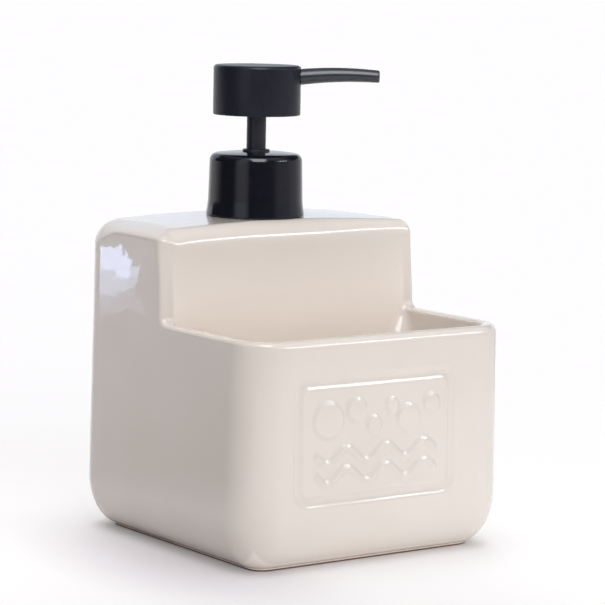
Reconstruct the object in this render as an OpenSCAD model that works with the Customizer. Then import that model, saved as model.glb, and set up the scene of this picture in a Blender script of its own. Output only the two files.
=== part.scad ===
// Glazed ceramic kitchen caddy with a lotion pump: a closed soap tank at the back,
// an open sponge holder in front, and a black pump in the tank's mouth.
// Millimetres, +Z up, +X to the right seen from the front, the front faces -Y.
// The origin is the middle of the footprint on the standing surface.

/* [Ceramic body] */
// Width of the caddy at the base
body_width = 111; // [104:0.5:122]
// Depth of the caddy at the base, front to back
body_depth = 112.6; // [107:0.2:122]
// Height of the flat seat round the pump mouth
tank_height = 110.9; // [100:0.1:125]
// Height of the sponge holder's rim
rim_height = 77.7; // [66:0.1:86]
// How far the tank's front face lies behind the middle of the caddy
step_setback = 1.4; // [-3:0.1:5]
// Radius of the four upright corners
corner_radius = 15.6; // [12:0.1:18]
// Inward lean of the outer walls, as a share of the height
draft_share = 0.015; // [0:0.001:0.02]
// Wall thickness of the sponge holder
holder_wall = 6; // [5:0.1:8]
// Wall thickness of the soap tank
tank_wall = 5; // [4:0.1:6]
// Thickness of the floor above the foot
floor_thickness = 7; // [5:0.1:10]
// Radius of the big rounding between walls and underside
belly_radius = 17.6; // [14:0.1:20]
// Height at which the belly rounding meets the upright wall
belly_height = 17; // [14:0.1:18]
// Radius of the tank's top edges at the sides and the back
crown_radius = 8; // [6:0.1:10]
// Radius of the tank's top front edge
brow_radius = 7; // [6:0.1:10]
// Radius of the rounding on each side of the rim
rim_radius = 1.9; // [1.5:0.1:2.7]
// Radius of the hollow curve where the rim runs up into the tank's front
saddle_radius = 4; // [3.5:0.1:10]
// Inset of the foot ring from the base outline
foot_inset = 9.8; // [8:0.1:11]
// Height of the unglazed foot ring
foot_height = 1.2; // [0.8:0.1:2]
// Width of the foot ring
foot_width = 5; // [3:0.1:8]
// Radius of the pump mouth
mouth_radius = 13.5; // [13.2:0.1:14.5]
// Place of the pump mouth's axis, as a share of the way from the tank's front to the back of the base
mouth_share = 0.4153; // [0.39:0.0001:0.51]

/* [Front plaque] */
// Width of the plaque between the centre lines of its groove
plaque_width = 64.6; // [50:0.2:66]
// Height of the plaque between the centre lines of its groove
plaque_height = 40.2; // [32:0.2:42]
// Height of the plaque's middle above the standing surface
plaque_level = 43.5; // [40:0.1:46]
// Sideways place of the plaque's middle
plaque_shift = -4.2; // [-5:0.1:5]
// Width of the pressed groove
groove_width = 3.2; // [2:0.1:4]
// Depth of the pressed groove
groove_depth = 0.6; // [0.5:0.1:1.4]
// Corner radius of the groove's centre line
groove_radius = 4.5; // [3:0.1:6]
// Height of the raised bubbles and waves
relief_height = 0.6; // [0.4:0.1:1.2]

/* [Neck insert] */
// Bore through the neck
neck_bore_radius = 9.6; // [8.6:0.1:9.9]
// Outside radius of the neck below its thread
neck_radius = 11.6; // [11.4:0.05:11.7]
// Height of the neck above the mouth seat
neck_height = 14.2; // [13.5:0.1:15]
// Radius of the flange that rests on the ceramic
flange_radius = 15; // [14.6:0.1:15.6]
// Thickness of that flange
flange_thickness = 1.2; // [1:0.1:1.5]
// Depth of the plug inside the mouth
plug_depth = 9; // [8:0.1:12]
// Thread pitch
thread_pitch = 4.2; // [4:0.05:4.5]
// Height of the thread ridge
thread_depth = 0.95; // [0.7:0.05:1]
// Turns of thread
thread_turns = 1.5; // [1:0.25:1.75]

/* [Collar] */
// Outside radius of the collar at its top
collar_top_radius = 16.45; // [16.3:0.05:17]
// Outside radius of the collar above its flared foot
collar_low_radius = 16.8; // [16.6:0.05:17.4]
// Outside radius of the flared foot
collar_foot_radius = 17.5; // [17.4:0.1:18.5]
// Height of the flared foot
collar_flare_height = 4.6; // [3:0.1:6]
// Height of the collar's top above the mouth seat
collar_height = 22.8; // [22:0.1:25]
// Wall thickness of the collar shell
collar_wall = 1.5; // [1.2:0.1:1.7]
// Radius of the rounding round the collar's top
collar_round = 2.6; // [1.6:0.1:3]

/* [Pump] */
// Bore radius of the pump barrel
barrel_bore_radius = 5.9; // [5.6:0.05:6]
// Outside radius of the pump barrel
barrel_radius = 7.2; // [7.1:0.05:7.6]
// Depth of the barrel floor's top below the mouth seat
barrel_depth = 32; // [31:0.5:36]
// Outside radius of the stem
stem_radius = 3.43; // [3.2:0.01:3.6]
// Bore radius of the stem
stem_bore_radius = 2; // [1.6:0.05:2.2]
// Stroke of the plunger
stroke = 12; // [11.9:0.1:14]
// Gap left between the collar and the head at the end of the stroke
head_clearance = 1; // [0.9:0.1:3]
// Outside radius of the dip tube
tube_radius = 3; // [2.8:0.05:3.2]
// Bore radius of the dip tube
tube_bore_radius = 2.2; // [1.6:0.05:2.3]
// Clearance between the dip tube's tip and the tank floor
tube_tip_gap = 4; // [2:0.5:12]
// Radius of the check ball
ball_radius = 2.4; // [2.2:0.05:2.6]
// Lift of the check ball
ball_lift = 1.5; // [1:0.1:1.6]
// Wire thickness of the return spring
spring_wire = 0.9; // [0.6:0.05:1]
// Middle radius of the return spring's coil
spring_radius = 4.3; // [4:0.05:4.6]
// Full turns of the return spring
spring_turns = 9; // [6:1:10]

/* [Head] */
// Radius of the round head
head_radius = 15.5; // [14:0.1:17]
// Height of the round head
head_height = 17.6; // [17:0.1:20]
// Radius of the head's top edge
head_round = 1.2; // [0.6:0.1:1.6]
// Side wall thickness of the head shell
head_wall = 1.3; // [1:0.1:1.8]
// Thickness of the head's top
head_roof = 1; // [0.8:0.1:1.05]
// Depth of the spout's axis below the head's top
spout_drop = 4; // [4:0.1:5]
// Reach of the spout's tip from the pump's axis
spout_reach = 43.3; // [34:0.1:46]
// Outside radius of the spout at the head
spout_root_radius = 2.85; // [2.5:0.05:2.85]
// Outside radius of the spout at its tip
spout_tip_radius = 2.2; // [1.9:0.05:2.4]
// Wall thickness of the spout
spout_wall = 0.8; // [0.6:0.05:1]
// Rise of the spout's arch above a straight line
spout_arch = 1; // [0:0.1:1.5]
// Direction in which the spout points, in degrees
spout_angle = -35.6; // [-180:0.2:180]

/* [Hidden] */
$fn = 96;
// Clearance of a running fit
fit = 0.05;
// Clearance of a loose fit
slack = 0.2;
// Overrun of cuts past the surface that they open
over = 1;
// Bite of one solid into its neighbour of the same piece
bite = 0.3;
glaze = [0.89, 0.86, 0.82];
black = [0.09, 0.09, 0.1];
natural = [0.86, 0.86, 0.84];

half_width = body_width / 2;
half_depth = body_depth / 2;
mouth_setback = step_setback + mouth_share * (half_depth - step_setback);
head_gap = stroke + head_clearance;
corner_x = half_width - corner_radius;
corner_y = half_depth - corner_radius;
floor_level = foot_height + floor_thickness;
// Inner floor fillet of the holder
floor_fillet = 5;
// Corner radius inside the tank
tank_corner = 8;
// Edge radius inside the tank
tank_edge = 4;
// Thickness of the tank's top round the mouth
tank_roof = 5;
// Radius of the tank's two upright front edges at the rim's height
shoulder_radius = rim_radius + draft_share * rim_height;
shoulder_x = half_width - shoulder_radius;
shoulder_y = step_setback + rim_radius;
roof_level = tank_height - tank_roof;
// Depth of the mouth's bore, clear of the insert's plug
bore_depth = max(tank_roof, plug_depth) + over;
// Clear run of the saddle's sweep below the rim
saddle_root = 3;

function wall_lean(z) = draft_share * z;

// Square corner less its round, used to round an outer corner of an outline
module round_off(r, turn) {
    rotate(turn)
        difference() {
            square(r + over);
            circle(r);
        }
}

// Upright section of the outer wall, from the corner's axis outwards
module outer_section(reach, top, edge) {
    foot_x = corner_radius - foot_inset;
    top_x = corner_radius - wall_lean(top);
    difference() {
        polygon([
            [-reach, foot_height], [corner_radius - wall_lean(foot_height), foot_height],
            [top_x, top], [-reach, top]
        ]);
        translate([corner_radius - wall_lean(belly_height) - belly_radius, belly_height])
            difference() {
                translate([0, -belly_radius - over])
                    square([belly_radius + over, belly_radius + over]);
                circle(belly_radius);
            }
        translate([corner_radius - wall_lean(top - edge) - edge, top - edge])
            round_off(edge, 0);
    }
    translate([-reach, 0])
        square([reach + foot_x, foot_height + bite]);
}

// Upright section of the holder's wall and floor, with a rolled rim
module holder_section(reach) {
    inner_x = corner_radius - holder_wall;
    difference() {
        outer_section(reach, rim_height, rim_radius);
        translate([-reach - over, floor_level + floor_fillet])
            square([reach + over + inner_x, rim_height]);
        translate([-reach - over, floor_level])
            square([reach + over + inner_x - floor_fillet, rim_height]);
        translate([inner_x - floor_fillet, floor_level + floor_fillet])
            circle(floor_fillet);
        translate([inner_x + rim_radius, rim_height - rim_radius])
            mirror([1, 0])
                round_off(rim_radius, 0);
    }
}

// Sweep of a section along a straight wall: right, back, left or front by its turn
module wall_run(turn, centre, from, to) {
    rotate(turn)
        translate([centre, to, 0])
            rotate([90, 0, 0])
                linear_extrude(height = to - from)
                    children();
}

// Quarter turn of a section round an upright corner
module wall_corner(x, y, start) {
    translate([x, y, 0])
        rotate(start)
            rotate_extrude(angle = 90)
                children();
}

// Rounded rectangle in plan
module plan_outline(w, d, r) {
    square([w - r - r, d], center = true);
    square([w, d - r - r], center = true);
    for (sx = [-1, 1])
        for (sy = [-1, 1])
            translate([sx * (w / 2 - r), sy * (d / 2 - r)])
                circle(r);
}

// Tall part of the outside: tank walls with rounded top edges
module tank_outside() {
    top = tank_height;
    for (side = [-1, 1])
        wall_corner(side * corner_x, corner_y, side > 0 ? 0 : 90)
            outer_section(0, top, crown_radius);
    wall_run(90, corner_y, -corner_x, corner_x)
        outer_section(corner_radius, top, crown_radius);
    front_y = shoulder_y - over - rim_radius;
    intersection() {
        union() {
            wall_run(0, corner_x, front_y, corner_y)
                outer_section(corner_radius, top, crown_radius);
            mirror([1, 0, 0])
                wall_run(0, corner_x, front_y, corner_y)
                    outer_section(corner_radius, top, crown_radius);
            translate([-corner_x, front_y, foot_height])
                cube([corner_x * 2, corner_y - front_y, top - foot_height]);
        }
        shoulder_block();
        brow_block();
    }
}

// Plan of the tank with its two small upright front edges
module shoulder_block() {
    section = [
        [0, 0], [shoulder_radius, 0], [shoulder_radius - wall_lean(tank_height), tank_height],
        [0, tank_height]
    ];
    for (side = [-1, 1])
        wall_corner(side * shoulder_x, shoulder_y, side > 0 ? -90 : 180)
            polygon(section);
    rotate(-90)
        translate([-shoulder_y, shoulder_x, 0])
            rotate([90, 0, 0])
                linear_extrude(height = shoulder_x * 2)
                    polygon(section);
    translate([-half_width, shoulder_y, 0])
        cube([body_width, half_depth, tank_height]);
}

// Side outline of the tank with its rounded top front edge
module brow_block() {
    front = shoulder_y - shoulder_radius;
    brow_y = front + wall_lean(tank_height - brow_radius) + brow_radius;
    translate([-half_width, 0, 0])
        rotate([90, 0, 90])
            linear_extrude(height = body_width)
                difference() {
                    translate([front - over, 0])
                        square([half_depth, tank_height]);
                    translate([brow_y, tank_height - brow_radius])
                        mirror([1, 0])
                            round_off(brow_radius, 0);
                }
}

// Low part of the outside: the sponge holder's walls and floor
module holder_outside() {
    for (side = [-1, 1])
        wall_corner(side * corner_x, -corner_y, side > 0 ? -90 : 180)
            holder_section(0);
    wall_run(-90, corner_y, -corner_x, corner_x)
        holder_section(corner_radius);
    wall_run(0, corner_x, -corner_y, shoulder_y)
        holder_section(corner_radius);
    mirror([1, 0, 0])
        wall_run(0, corner_x, -corner_y, shoulder_y)
            holder_section(corner_radius);
    translate([-corner_x, -corner_y, 0])
        cube([corner_x * 2, corner_y + shoulder_y, floor_level]);
}

// Rim swept up through the hollow curve into the tank's front edge
module saddle() {
    lean = wall_lean(rim_height + saddle_radius / 2);
    translate([half_width - lean, step_setback - saddle_radius, rim_height + saddle_radius])
        rotate([0, -90, 0])
            rotate([0, 0, 180])
                rotate([0, 0, -90])
                    rotate_extrude(angle = 90)
                        translate([saddle_radius, 0])
                            difference() {
                                square([saddle_root, holder_wall]);
                                translate([rim_radius, rim_radius])
                                    round_off(rim_radius, 180);
                                translate([rim_radius, holder_wall - rim_radius])
                                    mirror([1, 0])
                                        round_off(rim_radius, 0);
                            }
}

// Hollow of the soap tank
module tank_inside() {
    front = step_setback + tank_wall;
    back = half_depth - wall_lean(tank_height) - tank_wall;
    side = half_width - wall_lean(tank_height) - tank_wall;
    cx = side - tank_corner;
    cy = (back - front) / 2 - tank_corner;
    translate([0, (front + back) / 2, 0]) {
        for (sx = [-1, 1])
            for (sy = [-1, 1])
                wall_corner(sx * cx, sy * cy, sy > 0 ? (sx > 0 ? 0 : 90) : (sx > 0 ? -90 : 180))
                    tank_section(0);
        wall_run(0, cx, -cy, cy)
            tank_section(tank_corner);
        mirror([1, 0, 0])
            wall_run(0, cx, -cy, cy)
                tank_section(tank_corner);
        wall_run(90, cy, -cx, cx)
            tank_section(tank_corner);
        wall_run(-90, cy, -cx, cx)
            tank_section(tank_corner);
        translate([-cx, -cy, floor_level])
            cube([cx * 2, cy * 2, roof_level - floor_level]);
    }
}

module tank_section(reach) {
    difference() {
        translate([-reach, floor_level])
            square([reach + tank_corner, roof_level - floor_level]);
        translate([tank_corner - tank_edge, roof_level - tank_edge])
            round_off(tank_edge, 0);
        translate([tank_corner - tank_edge, floor_level + tank_edge])
            mirror([0, 1])
                round_off(tank_edge, 0);
    }
}

// Hollow under the floor that leaves only the foot ring standing
module foot_hollow() {
    inset = foot_inset + foot_width;
    translate([0, 0, -over])
        linear_extrude(height = over + foot_height)
            plan_outline(body_width - inset - inset, body_depth - inset - inset, foot_width);
}

// Turns the plaque's own plane onto the leaning front face
module on_front() {
    translate([plaque_shift, -half_depth + wall_lean(plaque_level), plaque_level])
        rotate([90 - atan(draft_share), 0, 0])
            children();
}

module plaque_groove() {
    outer = groove_width / 2;
    on_front()
        translate([0, 0, -groove_depth])
            linear_extrude(height = groove_depth + over)
                difference() {
                    plan_outline(plaque_width + outer + outer, plaque_height + outer + outer,
                        groove_radius + outer);
                    plan_outline(plaque_width - outer - outer, plaque_height - outer - outer,
                        groove_radius - outer);
                }
}

// Places and sizes of the raised bubbles, as shares of the plaque's half width and half height
bubble_shares = [
    [-0.62, 0.36, 0.31], [-0.26, 0.5, 0.2], [-0.03, 0.22, 0.15],
    [0.2, 0.52, 0.13], [0.42, 0.28, 0.24], [0.72, 0.5, 0.17]
];
// Heights of the two raised waves, as shares of the plaque's half height
wave_level_shares = [-0.26, -0.6];
// Full waves in each, half its length as a share of the plaque's half width, and its parts for each full wave
wave_count = 3;
wave_half_share = 0.76;
wave_steps = 16;
// Width of a wave's band, and how far its middle line swings up and down
wave_width = 1.9;
wave_rise = 2.3;

module relief() {
    half_w = plaque_width / 2;
    half_h = plaque_height / 2;
    on_front() {
        for (b = bubble_shares)
            translate([b[0] * half_w, b[1] * half_h, -bite])
                cylinder(h = relief_height + bite, r = b[2] * half_h);
        for (level = wave_level_shares)
            translate([0, level * half_h, -bite])
                linear_extrude(height = relief_height + bite)
                    wave_line(wave_half_share * half_w);
    }
}

// Point beside a wave's middle line, aside away from it and square to it. The turn is in degrees per length
function wave_point(x, turn, aside) =
    let (tilt = atan(wave_rise * turn * PI / 180 * cos(x * turn)))
    [x - aside * sin(tilt), wave_rise * sin(x * turn) + aside * cos(tilt)];

// Band of even width that swings up and down, with round ends
module wave_line(half) {
    turn = 180 * wave_count / half;
    steps = wave_count * wave_steps;
    stops = [for (i = [0 : steps]) half * (2 * i / steps - 1)];
    edge = wave_width / 2;
    polygon(concat(
        [for (x = stops) wave_point(x, turn, edge)],
        [for (i = [steps : -1 : 0]) wave_point(stops[i], turn, -edge)]
    ));
    for (side = [-1, 1])
        translate([side * half, 0])
            circle(edge);
}

module at_mouth(z) {
    translate([0, mouth_setback, tank_height + z])
        children();
}

module ceramic_body() {
    color(glaze)
        difference() {
            union() {
                tank_outside();
                holder_outside();
                saddle();
                mirror([1, 0, 0])
                    saddle();
                relief();
            }
            tank_inside();
            at_mouth(-bore_depth)
                cylinder(h = bore_depth + over, r = mouth_radius);
            foot_hollow();
            plaque_groove();
        }
}

// Radius of the insert's plug and of the groove that holds its seal
plug_gap = 0.6;
plug_radius = mouth_radius - plug_gap;
seal_depth = 1.3;
seal_height = 4;
seal_rib = 0.45;
seal_top = -2.4;
groove_floor = plug_radius - seal_depth;
flange_round = 0.4;
// Half widths of the thread ridge at its root and its crest, and its lowest turn's height
ridge_root = 1;
ridge_crest = 0.5;
ridge_start = 5.2;
ridge_steps = 36;
ridge_lead = 5;
ridge_gap = 0.2;
// Play between the two threads, and how much thinner the inner cap's ridge is
thread_play = 0.15;
ridge_trim = 0.1;
core_root_radius = neck_radius + thread_depth + thread_play;
core_crest_radius = core_root_radius - thread_depth;
core_ridge_root = ridge_root - ridge_trim;
core_ridge_crest = ridge_crest - ridge_trim;

// Thread ridge: a trapezium swept up a helix, outwards for side 1 and inwards for side -1
module thread_ridge(root, side, root_half, crest_half, start) {
    steps = round(ridge_steps * thread_turns);
    points = [
        for (i = [0 : steps])
            let (
                a = i * 360 / ridge_steps,
                z = start + thread_pitch * a / 360,
                grow = min(1, (i + 1) / ridge_lead, (steps + 1 - i) / ridge_lead),
                tip = root + side * thread_depth * grow,
                low = root - side * bite
            )
            each [
                [low * cos(a), low * sin(a), z - root_half],
                [tip * cos(a), tip * sin(a), z - crest_half],
                [tip * cos(a), tip * sin(a), z + crest_half],
                [low * cos(a), low * sin(a), z + root_half]
            ]
    ];
    side_faces = [
        for (i = [0 : steps - 1])
            for (j = [0 : 3])
                let (p = i * 4 + j, q = i * 4 + (j + 1) % 4)
                each [[p, p + 4, q + 4], [p, q + 4, q]]
    ];
    end_faces = [[0, 1, 2], [0, 2, 3], [steps * 4, steps * 4 + 2, steps * 4 + 1],
        [steps * 4, steps * 4 + 3, steps * 4 + 2]];
    faces = concat(side_faces, end_faces);
    polyhedron(points, side > 0 ? [for (f = faces) [f[2], f[1], f[0]]] : faces);
}

module neck_insert() {
    bore = neck_bore_radius;
    groove_low = seal_top - seal_height - slack;
    color(black)
        at_mouth(0) {
            rotate_extrude()
                polygon([
                    [bore, -plug_depth], [plug_radius - flange_round, -plug_depth],
                    [plug_radius, -plug_depth + flange_round], [plug_radius, groove_low],
                    [groove_floor, groove_low], [groove_floor, seal_top],
                    [plug_radius, seal_top], [plug_radius, 0],
                    [flange_radius, 0], [flange_radius, flange_thickness - flange_round],
                    [flange_radius - flange_round, flange_thickness],
                    [neck_radius, flange_thickness], [neck_radius, neck_height - flange_round],
                    [neck_radius - flange_round, neck_height], [bore, neck_height]
                ]);
            thread_ridge(neck_radius, 1, ridge_root, ridge_crest, ridge_start);
        }
}

module insert_seal() {
    inner = groove_floor + fit;
    body = mouth_radius - fit - seal_rib;
    low = seal_top - seal_height - slack / 2;
    color("dimgray")
        at_mouth(low)
            rotate_extrude() {
                translate([inner, 0])
                    square([body - inner, seal_height]);
                for (share = [1, 3, 5])
                    translate([body, seal_height * share / 6])
                        circle(seal_rib);
            }
}

// Heights of the stack that the collar clamps on the neck, above the mouth seat
gasket_thickness = 1;
gasket_level = neck_height + fit;
housing_flange_level = gasket_level + gasket_thickness;
housing_flange_thickness = 1.35;
housing_flange_play = 0.3;
housing_flange_radius = core_root_radius - housing_flange_play;
web_level = housing_flange_level + housing_flange_thickness + fit * 2;
web_thickness = 0.8;
web_bore_radius = barrel_radius + fit * 2;
bead_level = web_level + web_thickness + fit * 2;
bead_height = 0.8;
bead_stand = 0.7;
bead_radius = barrel_radius + bead_stand;
barrel_top = bead_level + bead_height + slack;
collar_inner_radius = collar_top_radius - collar_wall;
collar_low_level = 0.3;
core_radius = collar_inner_radius - fit;
core_foot_gap = 0.7;
core_low_level = flange_thickness + core_foot_gap;
collar_ceiling = collar_height - collar_wall;
core_rim_wall = 1.75;
skirt_slope = 1.7;
// How much thinner the flared skirt is than the wall, and where it ends below the inner cap
skirt_thinning = 0.1;
skirt_drop = 0.4;
collar_skirt_inner = collar_foot_radius - collar_wall + skirt_thinning;
collar_skirt_level = core_low_level - skirt_drop;
flare_shares = [0, 0.2, 0.4, 0.6, 0.8, 1];
ring_nose_radius = 4.8;
ring_stand = 0.8;
nose_play = 0.15;
collar_hole_radius = ring_nose_radius + nose_play;

module closure_core() {
    color(black)
        at_mouth(0) {
            rotate_extrude()
                polygon([
                    [core_root_radius, core_low_level], [core_radius, core_low_level],
                    [core_radius, collar_ceiling - fit],
                    [core_radius - core_rim_wall, collar_ceiling - fit],
                    [core_radius - core_rim_wall, web_level + web_thickness],
                    [web_bore_radius, web_level + web_thickness], [web_bore_radius, web_level],
                    [core_root_radius, web_level]
                ]);
            thread_ridge(core_root_radius, -1, core_ridge_root, core_ridge_crest,
                ridge_start - ridge_root - core_ridge_crest - ridge_gap
                + (ridge_root - ridge_crest) * (core_crest_radius - neck_radius) / thread_depth);
        }
}

module collar_shell() {
    flare_top = collar_low_level + collar_flare_height;
    flare = collar_foot_radius - collar_low_radius;
    color(black)
        at_mouth(0)
            rotate_extrude()
                difference() {
                    polygon(concat(
                        [[0, collar_low_level], [collar_skirt_inner, collar_low_level]],
                        [for (s = [len(flare_shares) - 1 : -1 : 0])
                            [collar_low_radius + flare * flare_shares[s] * flare_shares[s],
                                flare_top - collar_flare_height * flare_shares[s]]],
                        [[collar_top_radius, collar_height - collar_round],
                            [collar_top_radius, collar_height], [0, collar_height]]
                    ));
                    translate([collar_top_radius - collar_round, collar_height - collar_round])
                        round_off(collar_round, 0);
                    polygon([
                        [0, collar_low_level - over], [collar_skirt_inner, collar_low_level - over],
                        [collar_skirt_inner, collar_skirt_level],
                        [collar_inner_radius, collar_skirt_level + skirt_slope],
                        [collar_inner_radius, collar_ceiling], [0, collar_ceiling]
                    ]);
                    square([collar_hole_radius, collar_height + over]);
                }
}

module neck_gasket() {
    color("whitesmoke")
        at_mouth(gasket_level)
            difference() {
                cylinder(h = gasket_thickness, r = neck_radius - fit);
                translate([0, 0, -over])
                    cylinder(h = gasket_thickness + over * 2, r = neck_bore_radius);
            }
}

// Lower end of the barrel: floor with the ball seat, then the socket of the dip tube
barrel_floor = 3;
inlet_share = 0.7;
inlet_radius = ball_radius * inlet_share;
socket_radius = tube_radius + fit;
socket_wall = 1.55;
socket_length = 11;
barrel_taper = 2;
vent_radius = 0.6;
vent_level = 12.4;

module pump_housing() {
    floor_top = -barrel_depth;
    floor_low = floor_top - barrel_floor;
    color(natural)
        at_mouth(0)
            difference() {
                rotate_extrude()
                    polygon([
                        [inlet_radius, floor_low], [socket_radius, floor_low],
                        [socket_radius, floor_low - socket_length],
                        [socket_radius + socket_wall, floor_low - socket_length],
                        [socket_radius + socket_wall, floor_low - barrel_taper],
                        [barrel_radius, floor_top], [barrel_radius, housing_flange_level],
                        [housing_flange_radius, housing_flange_level],
                        [housing_flange_radius, housing_flange_level + housing_flange_thickness],
                        [barrel_radius, housing_flange_level + housing_flange_thickness],
                        [barrel_radius, bead_level], [bead_radius, bead_level],
                        [bead_radius, bead_level + bead_height / 2],
                        [barrel_radius, barrel_top],
                        [barrel_bore_radius, barrel_top], [barrel_bore_radius, floor_top],
                        [inlet_radius, floor_top]
                    ]);
                translate([0, 0, vent_level])
                    rotate([0, 90, 0])
                        cylinder(h = barrel_radius + over, r = vent_radius, $fn = 32);
            }
}

ring_skirt_length = 8;
ring_flange_radius = 7.5;
ring_flange_thickness = 1;
ring_round = 0.3;

module guide_ring() {
    nose_top = collar_height + ring_stand;
    bore = stem_radius + fit;
    low = barrel_top + fit;
    color(black)
        at_mouth(0)
            rotate_extrude()
                polygon([
                    [bore, barrel_top - ring_skirt_length],
                    [barrel_bore_radius - fit, barrel_top - ring_skirt_length],
                    [barrel_bore_radius - fit, low],
                    [ring_flange_radius, low], [ring_flange_radius, low + ring_flange_thickness],
                    [ring_nose_radius, low + ring_flange_thickness],
                    [ring_nose_radius, nose_top - ring_round],
                    [ring_nose_radius - ring_round, nose_top], [bore, nose_top]
                ]);
}

// Plunger at rest, heights above the mouth seat
head_level = collar_height + head_gap;
head_top = head_level + head_height;
// How far the hub ends inside the head, and how far the stem reaches below the guide ring
hub_recess = 0.8;
stem_overhang = 0.6;
hub_low_level = head_level + hub_recess;
stem_low_level = barrel_top - ring_skirt_length - stem_overhang;
stem_grip = 8.4;
stem_top_level = hub_low_level + stem_grip;
rod_spigot_length = 6;
rod_spigot_wall = 0.8;
rod_bore_radius = stem_bore_radius - rod_spigot_wall;
rod_neck_radius = 2.6;
rod_neck_length = 6.2;
rod_flange_radius = 4.9;
rod_flange_thickness = 1.2;
rod_flange_level = stem_low_level - fit - rod_neck_length - rod_flange_thickness;
seat_boss_height = 1.3;
seat_boss_play = 0.25;
seat_boss_radius = spring_radius - spring_wire / 2 - seat_boss_play;
port_radius = 0.5;
piston_length = 5;
piston_slip = 1;
piston_lip = 0.8;
piston_waist = 0.65;

module stem() {
    color(black)
        at_mouth(stem_low_level)
            difference() {
                cylinder(h = stem_top_level - stem_low_level, r = stem_radius);
                translate([0, 0, -over])
                    cylinder(h = stem_top_level - stem_low_level + over * 2, r = stem_bore_radius);
            }
}

module piston_rod() {
    flange_top = rod_flange_thickness;
    neck_top = flange_top + rod_neck_length;
    color(natural)
        at_mouth(rod_flange_level)
            difference() {
                union() {
                    translate([0, 0, -seat_boss_height])
                        cylinder(h = seat_boss_height + bite, r = seat_boss_radius);
                    cylinder(h = rod_flange_thickness, r = rod_flange_radius);
                    cylinder(h = neck_top, r = rod_neck_radius);
                    cylinder(h = neck_top + rod_spigot_length, r = stem_bore_radius - fit);
                }
                translate([0, 0, flange_top])
                    cylinder(h = neck_top + rod_spigot_length, r = rod_bore_radius);
                translate([-rod_neck_radius - over, 0, flange_top + port_radius + bite])
                    rotate([0, 90, 0])
                        cylinder(h = (rod_neck_radius + over) * 2, r = port_radius, $fn = 32);
            }
}

module piston_seal() {
    outer = barrel_bore_radius - fit;
    inner = rod_neck_radius + fit;
    color("whitesmoke")
        at_mouth(rod_flange_level + rod_flange_thickness + fit)
            rotate_extrude()
                polygon([
                    [inner, 0], [outer, 0], [outer, piston_lip],
                    [outer - piston_waist, piston_lip * 2],
                    [outer - piston_waist, piston_length - piston_lip * 2],
                    [outer, piston_length - piston_lip], [outer, piston_length],
                    [inner, piston_length]
                ]);
}

cage_disc = 1;
ball_play = 1;
cage_inner_radius = ball_radius + ball_play;
ball_level = -barrel_depth + sqrt(ball_radius * ball_radius - inlet_radius * inlet_radius) + fit;
cage_disc_level = ball_level + ball_radius + ball_lift + fit * 2;
cage_boss_height = 1.2;
window_radius = 0.7;
window_ring_radius = 2.4;
window_count = 4;
spring_low = cage_disc_level + cage_disc + fit * 2;
spring_high = rod_flange_level - fit * 2;
spring_sides = 6;
spring_rings = 8;
// Pitch of the first and last turn, as a share of the wire's thickness
dead_pitch_share = 1.6;

function spring_height(turn) =
    let (
        dead = dead_pitch_share * spring_wire,
        run = spring_high - spring_low - spring_wire,
        live = (run - dead * 2) / (spring_turns - 2)
    )
    turn < 1 ? turn * dead
        : turn > spring_turns - 1 ? run - (spring_turns - turn) * dead
        : dead + (turn - 1) * live;

module pump_spring() {
    steps = spring_turns * spring_rings;
    wire = spring_wire / 2;
    base = spring_low + wire;
    centres = [
        for (i = [0 : steps])
            [spring_radius * cos(i * 360 / spring_rings), spring_radius * sin(i * 360 / spring_rings),
                base + spring_height(i / spring_rings)]
    ];
    gaps = [
        for (i = [0 : steps - spring_rings + 1])
            for (j = [i + spring_rings - 1 : min(steps, i + spring_rings + 1)])
                norm(centres[i] - centres[j]) - spring_wire
    ];
    echo(least_gap_between_spring_turns = min(gaps));
    points = [
        for (i = [0 : steps])
            for (k = [0 : spring_sides - 1])
                let (
                    a = i * 360 / spring_rings,
                    t = k * 360 / spring_sides,
                    r = spring_radius + wire * cos(t)
                )
                [r * cos(a), r * sin(a), base + spring_height(i / spring_rings) + wire * sin(t)]
    ];
    side_faces = [
        for (i = [0 : steps - 1])
            for (k = [0 : spring_sides - 1])
                let (
                    p = i * spring_sides + k,
                    q = i * spring_sides + (k + 1) % spring_sides
                )
                each [[p, p + spring_sides, q + spring_sides], [p, q + spring_sides, q]]
    ];
    last = steps * spring_sides;
    end_faces = [
        for (k = [1 : spring_sides - 2])
            each [[0, k, k + 1], [last, last + k + 1, last + k]]
    ];
    color("silver")
        at_mouth(0)
            polyhedron(points, [for (f = concat(side_faces, end_faces)) [f[2], f[1], f[0]]]);
}

module check_ball() {
    color("silver")
        at_mouth(ball_level)
            sphere(ball_radius);
}

module ball_cage() {
    low = -barrel_depth + fit;
    color(natural)
        at_mouth(0)
            difference() {
                union() {
                    translate([0, 0, low])
                        cylinder(h = cage_disc_level + cage_disc - low, r = barrel_bore_radius - fit);
                    translate([0, 0, cage_disc_level])
                        cylinder(h = cage_disc + cage_boss_height, r = seat_boss_radius);
                }
                translate([0, 0, low - over])
                    cylinder(h = cage_disc_level - low + over, r = cage_inner_radius);
                for (i = [0 : window_count - 1])
                    rotate(i * 360 / window_count)
                        translate([window_ring_radius, 0, cage_disc_level - over])
                            cylinder(h = cage_disc + cage_boss_height + over * 2, r = window_radius,
                                $fn = 32);
            }
}

tube_cut_angle = 35;

module dip_tube() {
    top = -barrel_depth - barrel_floor - fit;
    low = floor_level + tube_tip_gap - tank_height;
    color(natural)
        at_mouth(0)
            difference() {
                translate([0, 0, low])
                    cylinder(h = top - low, r = tube_radius);
                translate([0, 0, low - over])
                    cylinder(h = top - low + over * 2, r = tube_bore_radius);
                translate([-tube_radius, 0, low])
                    rotate([0, -tube_cut_angle, 0])
                        translate([0, -tube_radius - over, -tube_radius * 3])
                            cube([tube_radius * 6, tube_radius * 2 + over * 2, tube_radius * 3]);
            }
}

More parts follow.
